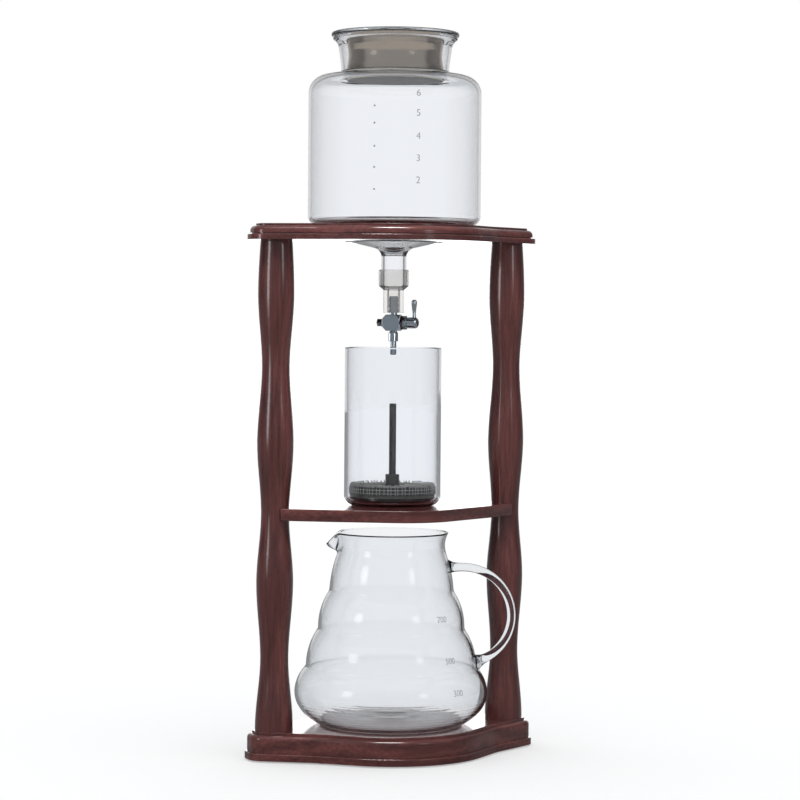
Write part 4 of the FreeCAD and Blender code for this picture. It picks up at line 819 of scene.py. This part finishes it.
BOSS_RADIUS = 4.7 * MM
CLOTH_INSET = 2.5 * WIRE_RADIUS
CLOTH_TOP = 2.2 * WIRE_RADIUS        # of its upper and its lower face under the net's top
CLOTH_UNDER = 3.2 * WIRE_RADIUS
CLOTH_TURNS = 96


def wire(verts, faces, path, closed=False):
    """Adds a thin round wire along a path to a mesh."""
    first = len(verts)
    count = len(path)
    for i, point in enumerate(path):
        before = path[i - 1] if closed or i else path[i]
        after = path[(i + 1) % count] if closed or i < count - 1 else path[i]
        along = (after - before).normalized()
        side = along.cross(Vector((0.0, 0.0, 1.0)))
        if side.length < 0.2:        # where the wire runs nearly straight up
            side = along.cross(Vector((1.0, 0.0, 0.0)))
        side.normalize()
        other = along.cross(side)
        for k in range(WIRE_SIDES):
            turn = 2 * math.pi * k / WIRE_SIDES
            verts.append(point + side * WIRE_RADIUS * math.cos(turn) + other * WIRE_RADIUS * math.sin(turn))
    for i in range(count if closed else count - 1):
        here = first + i * WIRE_SIDES
        there = first + ((i + 1) % count) * WIRE_SIDES
        for k in range(WIRE_SIDES):
            m = (k + 1) % WIRE_SIDES
            faces.append((here + k, here + m, there + m, there + k))
    if not closed:
        last = first + (count - 1) * WIRE_SIDES
        faces.append(tuple(first + k for k in range(WIRE_SIDES - 1, -1, -1)))
        faces.append(tuple(last + k for k in range(WIRE_SIDES)))


def net_strand(radius, top, low):
    """The path of one wire: up the side, over in a standing loop at the edge, and in towards the stem."""
    angle_shift = random.uniform(-LOOP_SHIFT, LOOP_SHIFT)
    lean = random.uniform(-LOOP_LEAN, LOOP_LEAN) * NET_PITCH
    rise = random.uniform(*LOOP_HEIGHTS) * (NET_LOOP - WIRE_RADIUS)
    cut = CORNER_CUT * NET_CORNER
    path = [(radius, low, 0.0), (radius, top - NET_CORNER, 0.0), (radius - cut, top - cut, 0.0)]
    for m in range(1, LOOP_STEPS):
        along = m / LOOP_STEPS
        r = radius - NET_CORNER * (LOOP_START + LOOP_WIDTH * along)
        path.append((r, top + rise * math.sin(math.pi * along), lean * along))
    path.append((radius - LOOP_END * NET_CORNER, top - WIRE_RADIUS, lean))
    path.append((BOSS_RADIUS + STEM_CLEAR, top - WIRE_RADIUS, lean * LEAN_KEPT))
    return path, angle_shift


def make_net(mat, cloth_mat):
    """Coarse woven wire with loops that stand up at its edge, over a darker cloth on top and side."""
    top = NET_HIGH[2] - 2 * WIRE_RADIUS
    radius = NET_HIGH[0] - WIRE_RADIUS
    low = NET_LOW[2] + WIRE_RADIUS
    verts, faces = [], []
    for k in range(NET_LOOPS):
        path, angle_shift = net_strand(radius, top, low)
        angle = 2 * math.pi * (k + angle_shift) / NET_LOOPS
        c, s = math.cos(angle), math.sin(angle)
        wire(verts, faces, [Vector((r * c - side * s, r * s + side * c, z)) for r, z, side in path])
    hoops = [(radius, low + (top - NET_CORNER - low) * share, True) for share in SIDE_HOOPS]
    hoops += [(radius - NET_CORNER * reach, top - WIRE_RADIUS, False) for reach in TOP_HOOPS]
    for hoop_radius, z, on_side in hoops:
        ring = []
        for k in range(2 * NET_LOOPS):
            angle = math.pi * k / NET_LOOPS
            wave = WIRE_RADIUS * HOOP_WAVES[k % 2]
            out = hoop_radius + (wave if on_side else 0.0)
            up = z + (0.0 if on_side else wave * TOP_WAVE)
            ring.append(Vector((out * math.cos(angle), out * math.sin(angle), up)))
        wire(verts, faces, ring, closed=True)
    mesh = bpy.data.meshes.new("filter_net")
    mesh.from_pydata(verts, [], faces)
    smooth(mesh)
    outer = radius - CLOTH_INSET
    inner = outer - WIRE_RADIUS
    cloth = lathe("filter_cloth", rounded_line([
        (BOSS_RADIUS, top - CLOTH_TOP, 0.0),
        (BOSS_RADIUS, top - CLOTH_UNDER, 0.0),
        (inner, top - CLOTH_UNDER, NET_CORNER - WIRE_RADIUS),
        (inner, low, 0.0),
        (outer, low, 0.0),
        (outer, top - CLOTH_TOP, NET_CORNER),
    ]), turns=CLOTH_TURNS)
    return [add_piece("filter_net", mesh, mat, "filter_net", "filter", "filter_mesh"),
            add_piece("filter_cloth", cloth, cloth_mat, "filter_net", "filter")]


# ---------------------------------------------------------------- the scales on the glass

PRINT_DEPTH = 0.12 * MM
PRINT_THINNING = 0.04 * MM           # of every stroke, on each side
PRINT_LIFT = 0.03 * MM               # of the print's middle over the glass
PRINT_FACETS = 4                     # of each curve of a letter
JAR_DIGIT_SIZE = 6.3 * MM
JAR_DIGIT_TURN = -96.6               # degrees round the tower's axis
JAR_DIGITS = (("6", 433.5), ("5", 420.7), ("4", 405.9), ("3", 391.7), ("2", 377.6))    # and heights in mm
JAR_DOT_RADIUS = 0.65 * MM
JAR_DOT_TURN = -125.2
JAR_DOTS = (425.2, 414.2, 399.4, 385.9, 371.8)    # heights in mm
DOT_SIDES = 20
JUG_WORD_SIZE = 5.7 * MM
JUG_WORD_TURN = -68.3
JUG_WORDS = (("700", 92.3), ("500", 66.0), ("300", 45.8))    # and heights in mm


def bend_round(mesh, polar_deg, z, radius_at):
    """Wraps a flat mesh in XY round the Z axis, readable from outside."""
    polar = math.radians(polar_deg)
    for vert in mesh.vertices:
        x, y, depth = vert.co
        height = z + y
        r = radius_at(height)
        angle = polar + x / r
        r += depth + PRINT_LIFT
        vert.co = (r * math.cos(angle), r * math.sin(angle), height)


def printed_text(words, size):
    """Flat text, centred, as a thin closed mesh."""
    curve = bpy.data.curves.new("print", "FONT")
    curve.body = words
    curve.size = size
    curve.extrude = PRINT_DEPTH / 2
    curve.offset = -PRINT_THINNING
    curve.resolution_u = PRINT_FACETS
    curve.align_x = "CENTER"
    curve.align_y = "CENTER"
    piece = bpy.data.objects.new("print", curve)
    SCENE.collection.objects.link(piece)
    mesh = applied(piece)
    bpy.data.objects.remove(piece)
    return mesh


def printed_dot(radius):
    """A flat round mark as a thin closed mesh."""
    mesh = bpy.data.meshes.new("dot")
    turns = [2 * math.pi * k / DOT_SIDES for k in range(DOT_SIDES)]
    ring = [(radius * math.cos(turn), radius * math.sin(turn)) for turn in turns]
    verts = [(x, y, side * PRINT_DEPTH / 2) for side in (-1, 1) for x, y in ring]
    faces = [tuple(range(DOT_SIDES - 1, -1, -1)), tuple(range(DOT_SIDES, 2 * DOT_SIDES))]
    for k in range(DOT_SIDES):
        m = (k + 1) % DOT_SIDES
        faces.append((k, m, DOT_SIDES + m, DOT_SIDES + k))
    mesh.from_pydata(verts, [], faces)
    return mesh


def print_scale(name, marks, mat, body, radius_at):
    """One piece from (mesh, degrees round the axis, height) marks wrapped round a glass."""
    work = bmesh.new()
    for mesh, polar_deg, z in marks:
        bend_round(mesh, polar_deg, z, radius_at)
        work.from_mesh(mesh)
    merged = bpy.data.meshes.new(name)
    bmesh.ops.recalc_face_normals(work, faces=work.faces)
    work.to_mesh(merged)
    work.free()
    add_piece(name, merged, mat, "filter_plastic", body)


def make_scales(mat):
    """Plain numbers and dots on the jar, and volumes on the jug."""
    marks = [(printed_text(digit, JAR_DIGIT_SIZE), JAR_DIGIT_TURN, z * MM) for digit, z in JAR_DIGITS]
    marks += [(printed_dot(JAR_DOT_RADIUS), JAR_DOT_TURN, z * MM) for z in JAR_DOTS]
    print_scale("jar_scale", marks, mat, "jar", lambda z: JAR_RADIUS)
    outside = jug_outside()

    def jug_radius(z):
        """The jug's outer radius at a height."""
        for a, b in zip(outside, outside[1:]):
            if a.y <= z <= b.y:
                return a.x + (b.x - a.x) * (z - a.y) / (b.y - a.y)
        return outside[-1].x

    marks = [(printed_text(word, JUG_WORD_SIZE), JUG_WORD_TURN, z * MM) for word, z in JUG_WORDS]
    print_scale("jug_scale", marks, mat, "jug", jug_radius)


# ---------------------------------------------------------------- the scene

random.seed(7)
make_camera()
make_world()
make_floor()

board_wood = stained_wood("board_wood", "X", (0.0, 0.05, 0.11))
dress(board_wood, "base_board", "shelf", "top_plate")
dress(stained_wood("left_post_wood", "Z", (0.11, 0.03, 0.0)), "left_post")
dress(stained_wood("right_post_wood", "Z", (-0.05, 0.06, 0.0)), "right_post")
dress(beech("dowel_beech"), "top_dowels", "shelf_dowels")
jar_glass = clear_glass("jar_glass", density=3.0, tint=(0.50, 0.60, 0.74))
dress(clear_glass("dripper_glass", density=24.0, tint=(0.50, 0.60, 0.72)), "dripper_glass")
dress(clear_glass("cap_clear", density=3.0, tint=(0.55, 0.63, 0.70)), "lid_cap")
taupe = glossy_plastic("stopper_taupe", (0.84, 0.71, 0.58), rough=0.13, dark=0.95, metallic=0.95)
dress(taupe, "lid_stopper")
# the packing's down-facing faces are painted dark as shade
cream = milky_silicone("packing_silicone", (0.92, 0.85, 0.74), through=0.1, rough=0.35,
                       painted_underside_shade=(0.20, 0.19, 0.18))
dress(cream, "lid_packing")
dress(milky_silicone("joint_silicone", (1.0, 0.985, 0.965), through=0.93, rough=0.05), "outlet_joint")
dress(bright_metal("tap_chrome", (0.66, 0.72, 0.77), rough=0.10), "tap_plug", *METAL_NODES)
dress(bright_metal("screw_zinc", (0.55, 0.55, 0.53), rough=0.3), "base_screws")
dress(seal_rubber("seal_black", rough=0.2), "tap_oring", "filter_gasket")
dress(seal_rubber("pad_black", (0.03, 0.03, 0.03)), "foot_pads")
dress(glossy_plastic("filter_smoke", (0.080, 0.080, 0.074), rough=0.3), "filter_frame", "filter_stem")

add_piece("jar", lathe("jar", jar_line()), jar_glass, "clear_glass", "jar",
          "water_jar", "jar_neck", "jar_funnel")
jug_glass = clear_glass("jug_glass", density=72.0, tint=(0.60, 0.64, 0.67), body=(0.985, 0.99, 1.0))
jug = make_jug(jug_glass)
net = make_net(glossy_plastic("net_wire", (0.55, 0.55, 0.52), rough=0.2),
               glossy_plastic("net_cloth", (0.060, 0.060, 0.055), rough=0.3))
make_scales(glossy_plastic("scale_print", (0.46, 0.46, 0.48), rough=0.5))

lit = {
    "stand_lit": [NODES[name] for name in STAND_NODES],
    "jug_lit": [jug],
    "small_lit": net + [NODES[name] for name in SMALL_NODES],
    "metal_lit": [NODES[name] for name in METAL_NODES],
}
groups = {name: lit_group(name, pieces) for name, pieces in lit.items()}
for name, group, *settings in LAMPS:
    make_lamp(name, groups[group], *settings)

SCENE.view_settings.view_transform = "Standard"
